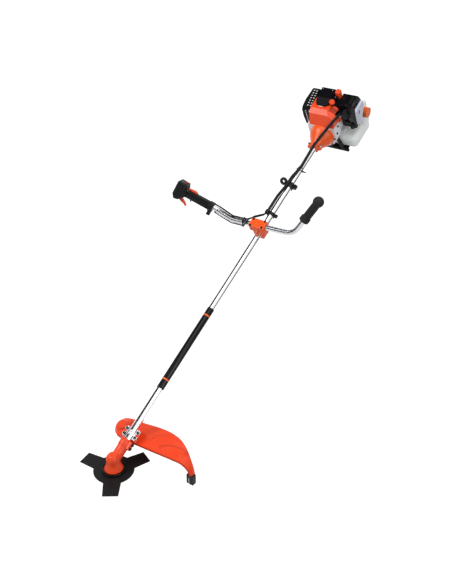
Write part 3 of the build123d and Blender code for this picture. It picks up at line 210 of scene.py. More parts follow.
def makeFinish(name, tint, shade=None, rough=0.4, spread=0.12, grain=0.0006, mottle=0.03, bump=0.05,
               scuff=0.05, metallic=0.0, coat=0.0, specular=0.5, dust=0.0, **more):
    mat = bpy.data.materials.new(name)
    mat.use_nodes = True
    tree = mat.node_tree
    shader = tree.nodes["Principled BSDF"]
    group = tree.nodes.new("ShaderNodeGroup")
    group.node_tree = surfaceFinish
    shade = shade or [channel * 0.85 for channel in tint]
    for title, value in (("Tint", (*tint, 1)), ("Shade", (*shade, 1)), ("Roughness", rough),
                         ("Roughness Spread", spread), ("Grain Size", grain), ("Mottle Size", mottle),
                         ("Scuff", scuff), ("Dust", dust)):
        group.inputs[title].default_value = value
    relief = tree.nodes.new("ShaderNodeBump")
    relief.inputs["Strength"].default_value = bump
    relief.inputs["Distance"].default_value = grain * 0.5
    tree.links.new(group.outputs["Color"], shader.inputs["Base Color"])
    tree.links.new(group.outputs["Roughness"], shader.inputs["Roughness"])
    tree.links.new(group.outputs["Height"], relief.inputs["Height"])
    tree.links.new(relief.outputs["Normal"], shader.inputs["Normal"])
    shader.inputs["Metallic"].default_value = metallic
    shader.inputs["Coat Weight"].default_value = coat
    shader.inputs["Coat Roughness"].default_value = 0.08
    shader.inputs["Specular IOR Level"].default_value = specular
    for key, value in more.items():
        shader.inputs[key.replace("_", " ")].default_value = value
    return mat


orange = (0.83, 0.066, 0.010)
deepOrange = (0.72, 0.045, 0.008)
coal = (0.013, 0.013, 0.014)
soot = (0.007, 0.007, 0.0075)
finishValues = {
    "castOrange": dict(tint=(0.82, 0.072, 0.012), shade=deepOrange, rough=0.34, grain=0.0012, bump=0.18,
                       specular=0.3),
    "cowlOrange": dict(tint=orange, rough=0.25, grain=0.0005, bump=0.05, specular=0.42),
    "caseOrange": dict(tint=(0.85, 0.115, 0.014), shade=(0.80, 0.085, 0.012), rough=0.3, grain=0.0012,
                       bump=0.15, specular=0.35),
    "guardOrange": dict(tint=(0.80, 0.060, 0.012), shade=deepOrange, rough=0.4, grain=0.0008, bump=0.1,
                        scuff=0.1, specular=0.22),
    "clampOrange": dict(tint=(0.86, 0.12, 0.012), shade=orange, rough=0.32, grain=0.0009, bump=0.12,
                        specular=0.3),
    "triggerOrange": dict(tint=(0.78, 0.08, 0.015), rough=0.36, bump=0.05, specular=0.3),
    "switchRed": dict(tint=(0.62, 0.03, 0.01), rough=0.35, bump=0.04, specular=0.3),
    "bootOrange": dict(tint=(0.84, 0.075, 0.012), rough=0.5, spread=0.15, bump=0.1, specular=0.25),
    "capOrange": dict(tint=(0.88, 0.14, 0.02), rough=0.38, bump=0.05, specular=0.25),
    "blackPlastic": dict(tint=coal, shade=soot, rough=0.46, spread=0.2, grain=0.0004, bump=0.25, scuff=0.04,
                         specular=0.12),
    "glossBlack": dict(tint=(0.006, 0.006, 0.008), shade=(0.003, 0.003, 0.004), rough=0.16, spread=0.06,
                       bump=0.05, scuff=0.03, specular=0.2),
    "gripRubber": dict(tint=(0.020, 0.019, 0.021), shade=coal, rough=0.6, spread=0.2, grain=0.0005, bump=0.3,
                       scuff=0.02, specular=0.16),
    "cableSheath": dict(tint=soot, shade=(0.004, 0.004, 0.004), rough=0.4, spread=0.15, bump=0.1, scuff=0.02,
                        specular=0.16),
    "bladeBlack": dict(tint=(0.010, 0.010, 0.010), shade=soot, rough=0.42, spread=0.2, grain=0.0005,
                       bump=0.2, scuff=0.06, specular=0.14),
    "flangeBlack": dict(tint=soot, shade=(0.004, 0.004, 0.005), rough=0.16, spread=0.06, bump=0.05,
                        specular=0.35),
    "blackPaint": dict(tint=coal, shade=soot, rough=0.34, spread=0.15, bump=0.1, specular=0.2),
    "blackScrew": dict(tint=(0.03, 0.03, 0.032), shade=(0.02, 0.02, 0.02), rough=0.35, spread=0.15,
                       metallic=0.7, bump=0.1),
    "zincSteel": dict(tint=(0.74, 0.75, 0.76), shade=(0.60, 0.61, 0.63), rough=0.26, spread=0.15,
                      metallic=1.0, bump=0.08),
    "turnedSteel": dict(tint=(0.62, 0.62, 0.63), shade=(0.5, 0.5, 0.51), rough=0.25, metallic=1.0, bump=0.06),
    "darkSteel": dict(tint=(0.28, 0.26, 0.25), shade=(0.18, 0.16, 0.15), rough=0.45, spread=0.2,
                      metallic=1.0, bump=0.12),
    "tubeChrome": dict(tint=(0.86, 0.87, 0.89), shade=(0.80, 0.81, 0.84), rough=0.07, spread=0.05,
                       grain=0.0015, metallic=1.0, bump=0.01, scuff=0.02),
    "barSilver": dict(tint=(0.64, 0.65, 0.67), shade=(0.52, 0.53, 0.56), rough=0.22, spread=0.06,
                      metallic=1.0, bump=0.02, scuff=0.03),
    # a grey-blue tint that stands for a pale part in shade: painted shade
    "paleCastInShade": dict(tint=(0.60, 0.62, 0.72), shade=(0.50, 0.52, 0.60), rough=0.4, spread=0.1, bump=0.1,
                     specular=0.3),
    "heatBlack": dict(tint=(0.009, 0.009, 0.010), shade=(0.005, 0.005, 0.006), rough=0.5, spread=0.15,
                      grain=0.0006, bump=0.2, specular=0.06),
    "brightSheet": dict(tint=(0.86, 0.86, 0.84), shade=(0.70, 0.70, 0.69), rough=0.4, spread=0.2,
                        metallic=0.2, bump=0.1),
    "enginePaint": dict(tint=(0.020, 0.020, 0.021), shade=coal, rough=0.5, spread=0.15, grain=0.001,
                        bump=0.25, specular=0.15),
    "castAluminium": dict(tint=(0.84, 0.85, 0.88), shade=(0.70, 0.71, 0.75), rough=0.5, spread=0.2,
                          grain=0.0012, metallic=0.15, bump=0.3),
    "naturalNylon": dict(tint=(0.70, 0.69, 0.62), rough=0.45, bump=0.05),
    "tankWhite": dict(tint=(0.97, 0.96, 0.95), shade=(0.92, 0.91, 0.90), rough=0.4, grain=0.001, bump=0.08,
                      scuff=0.03, specular=0.3, Subsurface_Weight=0.2, Subsurface_Scale=0.01),
}
finishes = {}
for finish, values in finishValues.items():
    finishes[finish] = makeFinish(finish, **values)
print("finishes made:", len(finishes))


# mesh helpers, points in millimetres in a piece's own frame
def roundEdges(obj, width, segments=2, smooth=sharpAngle):
    bevel = obj.modifiers.new("rounding", "BEVEL")
    bevel.width = width * mm
    bevel.segments = segments
    bevel.limit_method = "ANGLE"
    bevel.angle_limit = math.radians(smooth)
    bevel.harden_normals = True


def looks(obj, rounding=0.0, segments=2, smooth=sharpAngle):
    obj.data.shade_smooth()
    if rounding:
        roundEdges(obj, rounding, segments, smooth)
    else:
        obj.data.set_sharp_from_angle(angle=math.radians(smooth))


def thicken(obj, wall):
    solid = obj.modifiers.new("wall", "SOLIDIFY")
    solid.thickness = wall * mm
    solid.offset = -1


def addPiece(name, mesh, finish, body="machine"):
    if finish:
        mesh.materials.clear()
        mesh.materials.append(finishes[finish])
    obj = bpy.data.objects.new(name, mesh)
    bpy.context.scene.collection.objects.link(obj)
    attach(obj, body)
    return obj


def meshOf(name, points, faces, frame, outward=True):
    mesh = bpy.data.meshes.new(name)
    mesh.from_pydata([frame @ Vector(p) for p in points], [], faces)
    work = bmesh.new()
    work.from_mesh(mesh)
    bmesh.ops.remove_doubles(work, verts=work.verts, dist=0.000005)
    if outward:
        bmesh.ops.recalc_face_normals(work, faces=work.faces)
    work.to_mesh(mesh)
    work.free()
    return mesh


def copyOf(node, name, plane=None, above=True):
    mesh = nodes[node].data.copy()
    mesh.name = name
    work = bmesh.new()
    work.from_mesh(mesh)
    bmesh.ops.remove_doubles(work, verts=work.verts, dist=0.00001)
    if plane:
        point, normal = plane
        geom = work.verts[:] + work.edges[:] + work.faces[:]
        cut = bmesh.ops.bisect_plane(work, geom=geom, plane_co=point, plane_no=normal, clear_inner=above,
                                     clear_outer=not above)
        edges = [e for e in cut["geom_cut"] if isinstance(e, bmesh.types.BMEdge)]
        bmesh.ops.triangle_fill(work, edges=edges, use_beauty=True)
    work.to_mesh(mesh)
    work.free()
    return mesh


def ringSpot(reach, level, degrees):
    turn = math.radians(degrees)
    return reach * math.sin(turn), level, reach * math.cos(turn)


def onLine(points, share):
    at = min(max(share, 0.0), 1.0) * (len(points) - 1)
    low = min(int(at), len(points) - 2)
    part = at - low
    a, b, c, d = (Vector(points[min(max(low + step, 0), len(points) - 1)]) for step in (-1, 0, 1, 2))
    return b + 0.5 * part * (c - a + part * (2 * a - 5 * b + 4 * c - d + part * (3 * (b - c) + d - a)))


def gridFaces(rows, columns, close=False):
    faces = []
    for row in range(rows - 1):
        for column in range(columns if close else columns - 1):
            right = (column + 1) % columns
            faces.append((row * columns + column, row * columns + right,
                          (row + 1) * columns + right, (row + 1) * columns + column))
    return faces


def lathe(name, profile, frame, sides=48):
    points = []
    for radius, level in profile:
        for side in range(sides):
            angle = 2 * math.pi * side / sides
            points.append((radius * math.cos(angle), radius * math.sin(angle), level))
    return meshOf(name, points, gridFaces(len(profile), sides, close=True), frame)


# geometry node trees
socketDepth = 0.6        # share of a screw head's height
topShare = 0.82          # top of a bar against its foot
stepsPerWave = 4.0       # rings of the corrugated sleeve in one wave


def treeOf(name, inputs):
    tree = bpy.data.node_groups.new(name, "GeometryNodeTree")
    tree.interface.new_socket("Geometry", in_out="INPUT", socket_type="NodeSocketGeometry")
    for title, kind, value in inputs:
        socket = tree.interface.new_socket(title, in_out="INPUT", socket_type=kind)
        if value is not None:
            socket.default_value = value
    tree.interface.new_socket("Geometry", in_out="OUTPUT", socket_type="NodeSocketGeometry")
    return tree, tree.nodes.new("NodeGroupInput"), tree.nodes.new("NodeGroupOutput")


def addNode(tree, kind, values=None, **links):
    node = tree.nodes.new(kind)
    for key, value in (values or {}).items():
        if hasattr(node, key):
            setattr(node, key, value)
        else:
            node.inputs[key].default_value = value
    for key, source in links.items():
        tree.links.new(source, node.inputs[key.replace("_", " ")])
    return node


def pointVector(tree, title):
    held = addNode(tree, "GeometryNodeInputNamedAttribute", {"data_type": "FLOAT_VECTOR", "Name": title})
    return held.outputs["Attribute"]


def onPoints(tree, take, piece, turn):
    spots = addNode(tree, "GeometryNodeMeshToPoints", Mesh=take["Geometry"])
    many = addNode(tree, "GeometryNodeInstanceOnPoints", Points=spots.outputs[0], Instance=piece,
                   Rotation=turn)
    return many.outputs[0]


def endTree(tree, source, sink, geometry):
    solid = addNode(tree, "GeometryNodeRealizeInstances", Geometry=geometry)
    finish = source.outputs["Finish"]
    dressed = addNode(tree, "GeometryNodeSetMaterial", Geometry=solid.outputs[0], Material=finish)
    tree.links.new(dressed.outputs[0], sink.inputs[0])
    return tree


# a round head with a round recess in its top, on every point, facing along its attribute
def screwTree():
    tree, source, sink = treeOf("screwSet", [
        ("Head Radius", "NodeSocketFloat", 0.004), ("Head Height", "NodeSocketFloat", 0.003),
        ("Socket Share", "NodeSocketFloat", 0.55), ("Sides", "NodeSocketInt", 20),
        ("Finish", "NodeSocketMaterial", None)])
    take = source.outputs
    head = addNode(tree, "GeometryNodeMeshCylinder", {"fill_type": "NGON"}, Vertices=take["Sides"],
                   Radius=take["Head Radius"], Depth=take["Head Height"])
    rise = addNode(tree, "ShaderNodeCombineXYZ", Z=addMath(tree, "MULTIPLY", take["Head Height"], 0.5))
    moved = addNode(tree, "GeometryNodeTransform", Geometry=head.outputs["Mesh"], Translation=rise.outputs[0])
    inset = addNode(tree, "GeometryNodeExtrudeMesh", {"Offset Scale": 0.0}, Mesh=moved.outputs[0],
                    Selection=head.outputs["Top"])
    shrunk = addNode(tree, "GeometryNodeScaleElements", Geometry=inset.outputs["Mesh"],
                     Selection=inset.outputs["Top"], Scale=take["Socket Share"])
    deep = addMath(tree, "MULTIPLY", take["Head Height"], -socketDepth)
    sunk = addNode(tree, "GeometryNodeExtrudeMesh", Mesh=shrunk.outputs[0], Selection=inset.outputs["Top"],
                   Offset_Scale=deep)
    turn = addNode(tree, "FunctionNodeAlignRotationToVector", {"axis": "Z"},
                   Vector=pointVector(tree, "facing"))
    return endTree(tree, source, sink, onPoints(tree, take, sunk.outputs["Mesh"], turn.outputs[0]))


# a bar narrowed at its top on every point, long way along one attribute and standing on another
def barTree():
    tree, source, sink = treeOf("barSet", [
        ("Length", "NodeSocketFloat", 0.01), ("Width", "NodeSocketFloat", 0.002),
        ("Height", "NodeSocketFloat", 0.001), ("Finish", "NodeSocketMaterial", None)])
    take = source.outputs
    size = addNode(tree, "ShaderNodeCombineXYZ", X=take["Length"], Y=take["Width"], Z=take["Height"])
    cube = addNode(tree, "GeometryNodeMeshCube", Size=size.outputs[0])
    top = addNode(tree, "GeometryNodeInputPosition")
    parts = addNode(tree, "ShaderNodeSeparateXYZ", Vector=top.outputs[0])
    compare = {"data_type": "FLOAT", "operation": "GREATER_THAN", "B": 0.0}
    isTop = addNode(tree, "FunctionNodeCompare", compare, A=parts.outputs["Z"])
    narrowed = addNode(tree, "GeometryNodeScaleElements", {"Scale": topShare}, Geometry=cube.outputs["Mesh"],
                       Selection=isTop.outputs[0])
    first = addNode(tree, "FunctionNodeAlignRotationToVector", {"axis": "X"},
                    Vector=pointVector(tree, "along"))
    second = addNode(tree, "FunctionNodeAlignRotationToVector", {"axis": "Z", "pivot_axis": "X"},
                     Rotation=first.outputs[0], Vector=pointVector(tree, "facing"))
    return endTree(tree, source, sink, onPoints(tree, take, narrowed.outputs[0], second.outputs[0]))


# a corrugated or plain sleeve along the edges of a line
def sleeveTree():
    tree, source, sink = treeOf("sleevePath", [
        ("Radius", "NodeSocketFloat", 0.006), ("Pitch", "NodeSocketFloat", 0.003),
        ("Wave", "NodeSocketFloat", 0.0004), ("Bend", "NodeSocketFloat", 0.02),
        ("Sides", "NodeSocketInt", 16), ("Finish", "NodeSocketMaterial", None)])
    take = source.outputs
    line = addNode(tree, "GeometryNodeMeshToCurve", Mesh=take["Geometry"])
    soft = addNode(tree, "GeometryNodeFilletCurve", {"mode": "POLY", "Count": 8, "Limit Radius": True},
                   Curve=line.outputs[0], Radius=take["Bend"])
    step = addMath(tree, "DIVIDE", take["Pitch"], stepsPerWave)
    even = addNode(tree, "GeometryNodeResampleCurve", {"mode": "LENGTH"}, Curve=soft.outputs[0], Length=step)
    where = addNode(tree, "GeometryNodeSplineParameter")
    turns = addMath(tree, "DIVIDE", where.outputs["Length"], take["Pitch"])
    swing = addMath(tree, "COSINE", addMath(tree, "MULTIPLY", turns, 2 * math.pi), 0.0)
    girth = addMath(tree, "ADD", addMath(tree, "MULTIPLY", swing, take["Wave"]), take["Radius"])
    wide = addNode(tree, "GeometryNodeSetCurveRadius", Curve=even.outputs[0], Radius=girth)
    ring = addNode(tree, "GeometryNodeCurvePrimitiveCircle", {"mode": "RADIUS", "Radius": 1.0},
                   Resolution=take["Sides"])
    tube = addNode(tree, "GeometryNodeCurveToMesh", {"Fill Caps": True}, Curve=wide.outputs[0],
                   Profile_Curve=ring.outputs[0], Scale=girth)
    return endTree(tree, source, sink, tube.outputs[0])


screwSet, barSet, sleevePath = screwTree(), barTree(), sleeveTree()


# runs a tree on bare points or a line and keeps the plain mesh
def grown(name, tree, spots, frame, values, finish, body="machine", edges=()):
    mesh = bpy.data.meshes.new(name + "Spots")
    mesh.from_pydata([frame @ Vector(spot[0]) for spot in spots], edges, [])
    turn = frame.to_3x3()
    for index, title in ((1, "facing"), (2, "along")):
        if len(spots[0]) > index:
            layer = mesh.attributes.new(title, "FLOAT_VECTOR", "POINT")
            for item, spot in zip(layer.data, spots):
                item.vector = (turn @ Vector(spot[index])).normalized()
    seed = bpy.data.objects.new(name + "Seed", mesh)
    bpy.context.scene.collection.objects.link(seed)
    grow = seed.modifiers.new("grow", "NODES")
    grow.node_group = tree
    keys = {item.name: item.identifier for item in tree.interface.items_tree if item.in_out == "INPUT"}
    for title, value in values.items():
        grow[keys[title]] = value
    grow[keys["Finish"]] = finishes[finish]
    held = seed.evaluated_get(bpy.context.evaluated_depsgraph_get())
    plain = bpy.data.meshes.new_from_object(held)
    plain.name = name
    seed.modifiers.remove(grow)
    bpy.data.objects.remove(seed)
    for layer in [a for a in plain.attributes if a.name in ("facing", "along")]:
        plain.attributes.remove(layer)
    obj = addPiece(name, plain, None, body)
    looks(obj)
    return obj


def barSize(size):
    return {title: length * mm for title, length in zip(("Length", "Width", "Height"), size)}


# CAD nodes: finish, rounding of edges (mm)
nodeLooks = {
    "gear_case": ("castOrange", 1.2), "clutch_case": ("caseOrange", 1.2),
    "gear_case_screws": ("blackScrew", 0.3), "guard_screws": ("blackScrew", 0.3),
    "bar_clamp_screws": ("blackScrew", 0.3), "pinion": ("turnedSteel", 0),
    "output_gear": ("turnedSteel", 0), "head_bearings": ("turnedSteel", 0),
    "drum_bearing": ("turnedSteel", 0), "output_spindle": ("turnedSteel", 0.3),
    "drive_shaft": ("turnedSteel", 0), "crankshaft": ("turnedSteel", 0.3),
    "throttle_pins": ("turnedSteel", 0), "inner_flange": ("flangeBlack", 0.6), "blade": ("bladeBlack", 0.3),
    "outer_flange": ("zincSteel", 0.4), "blade_nut": ("zincSteel", 0.5), "guard": ("guardOrange", 1.0),
    "guard_saddle": ("zincSteel", 0.5), "knife_block": ("blackPlastic", 0.8),
    "line_knife": ("zincSteel", 0.2), "shaft_tube": ("tubeChrome", 0), "shaft_bushes": ("naturalNylon", 0),
    "handlebar": ("barSilver", 0), "bar_clamp_base": ("clampOrange", 1.0),
    "bar_clamp_cap": ("clampOrange", 1.0), "left_grip": ("gripRubber", 0.6),
    "throttle_front_shell": ("blackPlastic", 0.8), "throttle_rear_shell": ("blackPlastic", 0.8),
    "trigger": ("triggerOrange", 0.8), "lock_out_lever": ("triggerOrange", 0.6),
    "stop_switch": ("switchRed", 0), "half_throttle_button": ("blackPlastic", 0.4),
    "throttle_collar": ("blackPlastic", 0.6), "control_cables": ("cableSheath", 0),
    "cable_loom": ("cableSheath", 0), "cable_ties": ("blackPlastic", 0), "cable_clip": ("blackPaint", 0.4),
    "harness_clamp": ("blackPaint", 0.5), "clutch_drum": ("darkSteel", 0.4),
    "clutch_shoes": ("darkSteel", 0.3), "flywheel": ("castAluminium", 0.3),
    "crankcase": ("castAluminium", 1.0), "cylinder": ("enginePaint", 0.4), "piston": ("castAluminium", 0.3),
    "engine_cowl": ("cowlOrange", 1.2), "cylinder_cover": ("glossBlack", 2.0),
    "spark_plug": ("zincSteel", 0.3), "plug_boot": ("bootOrange", 0.5), "muffler": ("darkSteel", 0.6),
    "muffler_guard": ("heatBlack", 1.2), "carburettor": ("enginePaint", 0.5),
    "air_filter_cover": ("glossBlack", 2.0), "primer_bulb": ("gripRubber", 0.4),
    "fuel_tank": ("tankWhite", 1.0), "fuel_cap": ("capOrange", 0.8), "engine_stand": ("blackPlastic", 0.8),
    "recoil_housing": ("cowlOrange", 0.8), "recoil_pulley": ("naturalNylon", 0.3),
    "recoil_handle": ("blackPlastic", 0.8),
}


def dressNode(obj, finish, rounding):
    obj.data.materials.clear()
    obj.data.materials.append(finishes[finish])
    weld = obj.modifiers.new("weld", "WELD")
    weld.merge_threshold = 0.00001
    if rounding:
        roundEdges(obj, rounding)


for name, obj in nodes.items():
    dressNode(obj, *nodeLooks[name])
print("CAD nodes dressed:", len(nodes))

# blade guard: a moulded sheet between its front line and its rim line
guardValues = {
    "front": [(-88, 120, -2), (-84, 108, 12), (-66, 94, 25), (-45, 88, 28), (-22, 86, 28), (33, 91, 28),
              (82, 95, 28), (125, 99, 28), (170, 104, 27), (205, 109, 23), (230, 111, 10), (243, 112, -10),
              (249, 113, -33)],
    "rim": [(-92, 140, -2), (-104, 158, 10), (-100, 176, 22), (-58, 187, 27), (-19, 187, 28), (29, 200, 28),
            (82, 205, 28), (120, 200, 28), (150, 190, 27), (185, 171, 22), (217, 150, 10), (238, 138, -10),
            (251, 128, -33)],
    # the value after the lip's depth is a painted shade mark on the lip rows
    "wall": 2.8, "lip": 6.0, "lipShade": 0.4, "skirt": 28.0, "flare": 1.2, "shoulder": 7.0,
    "crown": 3.0, "roof": 27.5,
    "steps": [((59, 134), (84, 174), (138, 196), 8.0, 30.0),
              ((108, 116), (144, 146), (197, 153), 7.2, 24.0)],
    # the ring values place a ring of painted shade round the lobe
    "lobe": (-80.0, 142.0), "lobeSize": 24.0, "lobeRise": 13.0, "ringShare": 1.3, "ringWidth": 3.5,
    "crease": -52.0, "creaseWidth": 9.0, "creaseDepth": 7.0,
    "stations": 168, "rows": 64, "lipRows": 2, "bendRows": 6, "skirtRows": 8,
}


def circleThrough(a, b, c):
    (ax, ay), (bx, by), (cx, cy) = a, b, c
    d = 2 * (ax * (by - cy) + bx * (cy - ay) + cx * (ay - by))
    a2, b2, c2 = ax * ax + ay * ay, bx * bx + by * by, cx * cx + cy * cy
    x = (a2 * (by - cy) + b2 * (cy - ay) + c2 * (ay - by)) / d
    y = (a2 * (cx - bx) + b2 * (ax - cx) + c2 * (bx - ax)) / d
    return x, y, math.hypot(ax - x, ay - y)


def ease(value):
    value = min(max(value, 0.0), 1.0)
    return value * value * (3 - 2 * value)


# each step lifts the sheet and carries a painted shade mark, a dark band along its low side
def guardSteps(x, y, values):
    rise, shadeMark = 0.0, 0.0
    for a, b, c, height, fade in values["steps"]:
        cx, cy, r = circleThrough(a, b, c)
        inside = r - math.hypot(x - cx, y - cy)
        turn = math.atan2(y - cy, x - cx)
        start, end = math.atan2(a[1] - cy, a[0] - cx), math.atan2(c[1] - cy, c[0] - cx)
        span = ease((start + 0.06 - turn) / 0.25) * ease((turn - end + 0.06) / 0.2)
        rise += height * ease((inside + 0.9) / 1.8) * math.exp(-max(inside, 0) / fade) * span
        shadeMark = max(shadeMark, span * math.exp(-((inside + 2.4) / 4.0) ** 2))
    return rise, shadeMark


def makeGuard(values):
    points, shadeMarks = [], []
    stations, lipRows = values["stations"], values["lipRows"]
    bendRows, skirtRows = values["bendRows"], values["skirtRows"]
    flat = values["rows"] - lipRows - bendRows - skirtRows
    (lobeX, lobeY), crownHeight = values["lobe"], values["crown"]
    for station in range(stations):
        u = station / (stations - 1)
        f, r = onLine(values["front"], u), onLine(values["rim"], u)
        ahead = (onLine(values["front"], u + 0.01) - onLine(values["front"], u - 0.01)
                 + onLine(values["rim"], u + 0.01) - onLine(values["rim"], u - 0.01)).normalized()
        across = (r - f).normalized()
        up = ahead.cross(across).normalized()
        skirt = values["skirt"] * (0.35 + 0.65 * ease(u / 0.12)) * (0.4 + 0.6 * ease((1 - u) / 0.3))
        soft = values["shoulder"]
        # the lip rows carry an even painted shade mark
        line = [(f - up * values["lip"] * (1 - row / lipRows), values["lipShade"]) for row in range(lipRows)]
        for row in range(flat):
            v = row / (flat - 1)
            point = f + (r - across * soft - f) * v
            crown = crownHeight * math.sin(math.pi * min(v * 1.1, 1.0)) * ease(u / 0.1) * ease((1 - u) / 0.1)
            lobe = math.exp(-((point.x - lobeX) ** 2 + (point.y - lobeY) ** 2) / values["lobeSize"] ** 2)
            edge = ease(v / 0.18) * ease((1 - v) / 0.1)
            creaseAway = (point.x - values["crease"]) / values["creaseWidth"]
            crease = math.exp(-creaseAway ** 2) * ease((v - 0.35) / 0.4)
            away = (crown * 0.4 + values["lobeRise"] * lobe - values["creaseDepth"] * crease) * edge
            rise, shadeMark = guardSteps(point.x, point.y, values)
            away += rise * ease(v / 0.12) * ease((1 - v) / 0.06)
            ringAway = math.hypot(point.x - lobeX, point.y - lobeY) - values["lobeSize"] * values["ringShare"]
            ring = math.exp(-(ringAway / values["ringWidth"]) ** 2) * ease((point.x + 78) / 12)
            # the mark kept per point is painted shade: along the steps, the crease and a ring round the lobe
            line.append((point + up * away, max(shadeMark, 0.45 * crease * edge, 0.6 * ring)))
        for row in range(1, bendRows + 1):
            turn = math.pi / 2 * row / bendRows
            line.append((r - across * soft * (1 - math.sin(turn)) - up * soft * (1 - math.cos(turn)), 0.0))
        for row in range(1, skirtRows + 1):
            drop = soft + (skirt - soft) * row / skirtRows
            line.append((r - up * drop + across * values["flare"] * row / skirtRows, 0.0))
        points.extend(point for point, _ in line)
        shadeMarks.extend(shadeMark for _, shadeMark in line)
    mesh = meshOf("guardShell", points, gridFaces(stations, values["rows"]), headFrame, outward=False)
    # the painted shade marks are stored on the mesh, for the finish to darken
    paintedShade = mesh.attributes.new("paintedShade", "FLOAT", "POINT")
    for item, value in zip(paintedShade.data, shadeMarks):
        item.value = value
    shell = addPiece("guardShell", mesh, "guardOrange")
    thicken(shell, values["wall"])
    looks(shell, 0.9, 2, 50)
    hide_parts("guard")
    roof = crossing + Vector((0, 0, values["roof"] * mm))
    aboveRoof = copyOf("guard", "guardPad", (roof, Vector((0, 0, 1))), True)
    pad = addPiece("guardPad", aboveRoof, "guardOrange")
    looks(pad, 1.0)
    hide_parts("guard")


makeGuard(guardValues)
print("guard made")

# saddle over the tube: strap with four notched ears
saddleValues = {
    "tube": 13.0, "wall": 3.0, "sheet": 2.6, "flat": (32.0, 27.5, 24.0, 21.0, 18.5), "arcSteps": 24,
    "start": 93.0, "end": 131.0, "lip": 4.0, "notch": 4.5, "notchIn": 21.0, "strap": 8.5,
    "cornerIn": 30.0, "bareOut": 16.6,
}


def makeSaddle(values):
    r, sheet, steps = values["tube"] + values["wall"], values["sheet"], values["arcSteps"]
    start, end, notch, notchIn = (values[key] for key in ("start", "end", "notch", "notchIn"))
    half = values["strap"]
    path = [(-x, sheet) for x in values["flat"]]
    for step in range(1, steps):
        turn = math.pi * step / steps
        path.append((-r * math.cos(turn), sheet + (r - sheet) * math.sin(turn)))
    path += [(-x, z) for x, z in reversed(path[:len(values["flat"])])]
    middle = (start + end) / 2
    across = [start, start + values["lip"], middle - half, middle - notch,
              middle + notch, middle + half, end - values["lip"], end]
    points = [(x, y, z) for x, z in path for y in across]
    faces = []
    for face in gridFaces(len(path), len(across)):
        xs = [abs(points[k][0]) for k in face]
        low, high = min(points[k][1] for k in face), max(points[k][1] for k in face)
        inNotch = low >= middle - notch - 0.01 and high <= middle + notch + 0.01 and min(xs) >= notchIn
        corner = max(xs) > values["cornerIn"] and (high > end - 0.1 or low < start + 0.1)
        bare = max(xs) < values["bareOut"] and (high > middle + half + 0.1 or low < middle - half - 0.1)
        if not inNotch and not corner and not bare:
            faces.append(tuple(reversed(face)))
    mesh = meshOf("saddleStrap", points, faces, tubeFrame, outward=False)
    strap = addPiece("saddleStrap", mesh, "zincSteel")
    thicken(strap, sheet)
    looks(strap, 0.5, 2, 40)
    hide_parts("guard_saddle")


makeSaddle(saddleValues)

# black sleeve on the tube with plain rings
wrapValues = {
    "start": 295.0, "end": 648.0, "inner": 13.02, "radius": 13.5,
    "rings": [(330.0, 6.0), (612.0, 6.0)], "ringInner": 13.4, "ringRise": 0.15, "sides": 64,
}


def makeWrap(values):
    r, a, b, sides = values["radius"], values["start"], values["end"], values["sides"]
    place = tubeFrame @ Matrix.Rotation(math.radians(-90), 4, "X")
    bore = values["inner"]
    profile = [(bore, a), (r - 0.1, a), (r, a + 0.3), (r, b - 0.3), (r - 0.1, b), (bore, b)]
    wrap = addPiece("tubeSleeve", lathe("tubeSleeve", profile, place, sides), "glossBlack")
    looks(wrap)
    inner, outer = values["ringInner"], r + values["ringRise"]
    for index, (level, width) in enumerate(values["rings"]):
        band = [(inner, level), (outer, level + 0.1), (outer, level + width - 0.1), (inner, level + width)]
        ring = lathe("sleeveRing", band, place, sides)
        looks(addPiece("sleeveRing" + str(index + 1), ring, "capOrange"))


makeWrap(wrapValues)
print("saddle and sleeve made")

# cable ties: bands drawn tight round what they hold
tieValues = {
    "tube": {"y": 1345.0, "turn": 65.0, "reach": 21.5, "tube": 13.0, "loom": 6.3},
    "bar": {"x": -64.0, "bar": 11.0, "cable": 3.3, "wire": 2.3, "cableTurn": 49.3, "wireTurn": 202.6,
            "start": (-118.0, 1018.7), "run": 267.0, "rise": 14.9, "height": 34.0},
    "width": 4.0, "wall": 1.1, "room": 0.15, "lock": (-1.5, 3.0, 2.2), "tail": 12.0,
}


def hullOf(circles):
    spots = set()
    for x, z, r in circles:
        for turn in [2 * math.pi * k / 40 for k in range(40)]:
            spots.add((x + r * math.cos(turn), z + r * math.sin(turn)))
    spots = sorted(spots)

    def half(points):
        chain = []
        for p in points:
            while len(chain) > 1 and ((chain[-1][0] - chain[-2][0]) * (p[1] - chain[-2][1])
                                      - (chain[-1][1] - chain[-2][1]) * (p[0] - chain[-2][0])) <= 0:
                chain.pop()
            chain.append(p)
        return chain[:-1]
    return half(spots) + half(spots[::-1])


def makeTie(name, circles, frame, values, tailAt):
    loop = hullOf(circles)
    half = values["width"] / 2
    points = [(x, z, y) for y in (-half, half) for x, z in loop]
    faces = [tuple(reversed(face)) for face in gridFaces(2, len(loop), close=True)]
    x, z, turn = tailAt
    c, s = math.cos(math.radians(turn)), math.sin(math.radians(turn))
    near, far, wide = values["lock"]

    def place(along, side, level):
        return x + c * along - s * side, z + s * along + c * side, level

    base = len(points)
    for along, side in ((near, wide), (far, wide), (far, -wide), (near, -wide)):
        points += [place(along, side, level) for level in (-half - 0.4, half + 0.4)]
    for face in ((0, 2, 3, 1), (2, 4, 5, 3), (4, 6, 7, 5), (6, 0, 1, 7), (0, 6, 4, 2), (1, 3, 5, 7)):
        faces.append(tuple(base + corner for corner in face))
    base = len(points)
    for along in (far, values["tail"]):
        for side in (0.5, -0.5):
            bent = side + (along - far) * 0.12
            points += [place(along, bent, level) for level in (-half * 0.7, half * 0.7)]
    for face in ((0, 1, 5, 4), (2, 6, 7, 3), (4, 5, 7, 6), (0, 4, 6, 2), (1, 3, 7, 5)):
        faces.append(tuple(base + corner for corner in face))
    tie = addPiece(name, meshOf(name, points, faces, frame, outward=False), "blackPlastic")
    thicken(tie, values["wall"])
    looks(tie, 0.25, 1, 50)
    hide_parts("cable_ties")


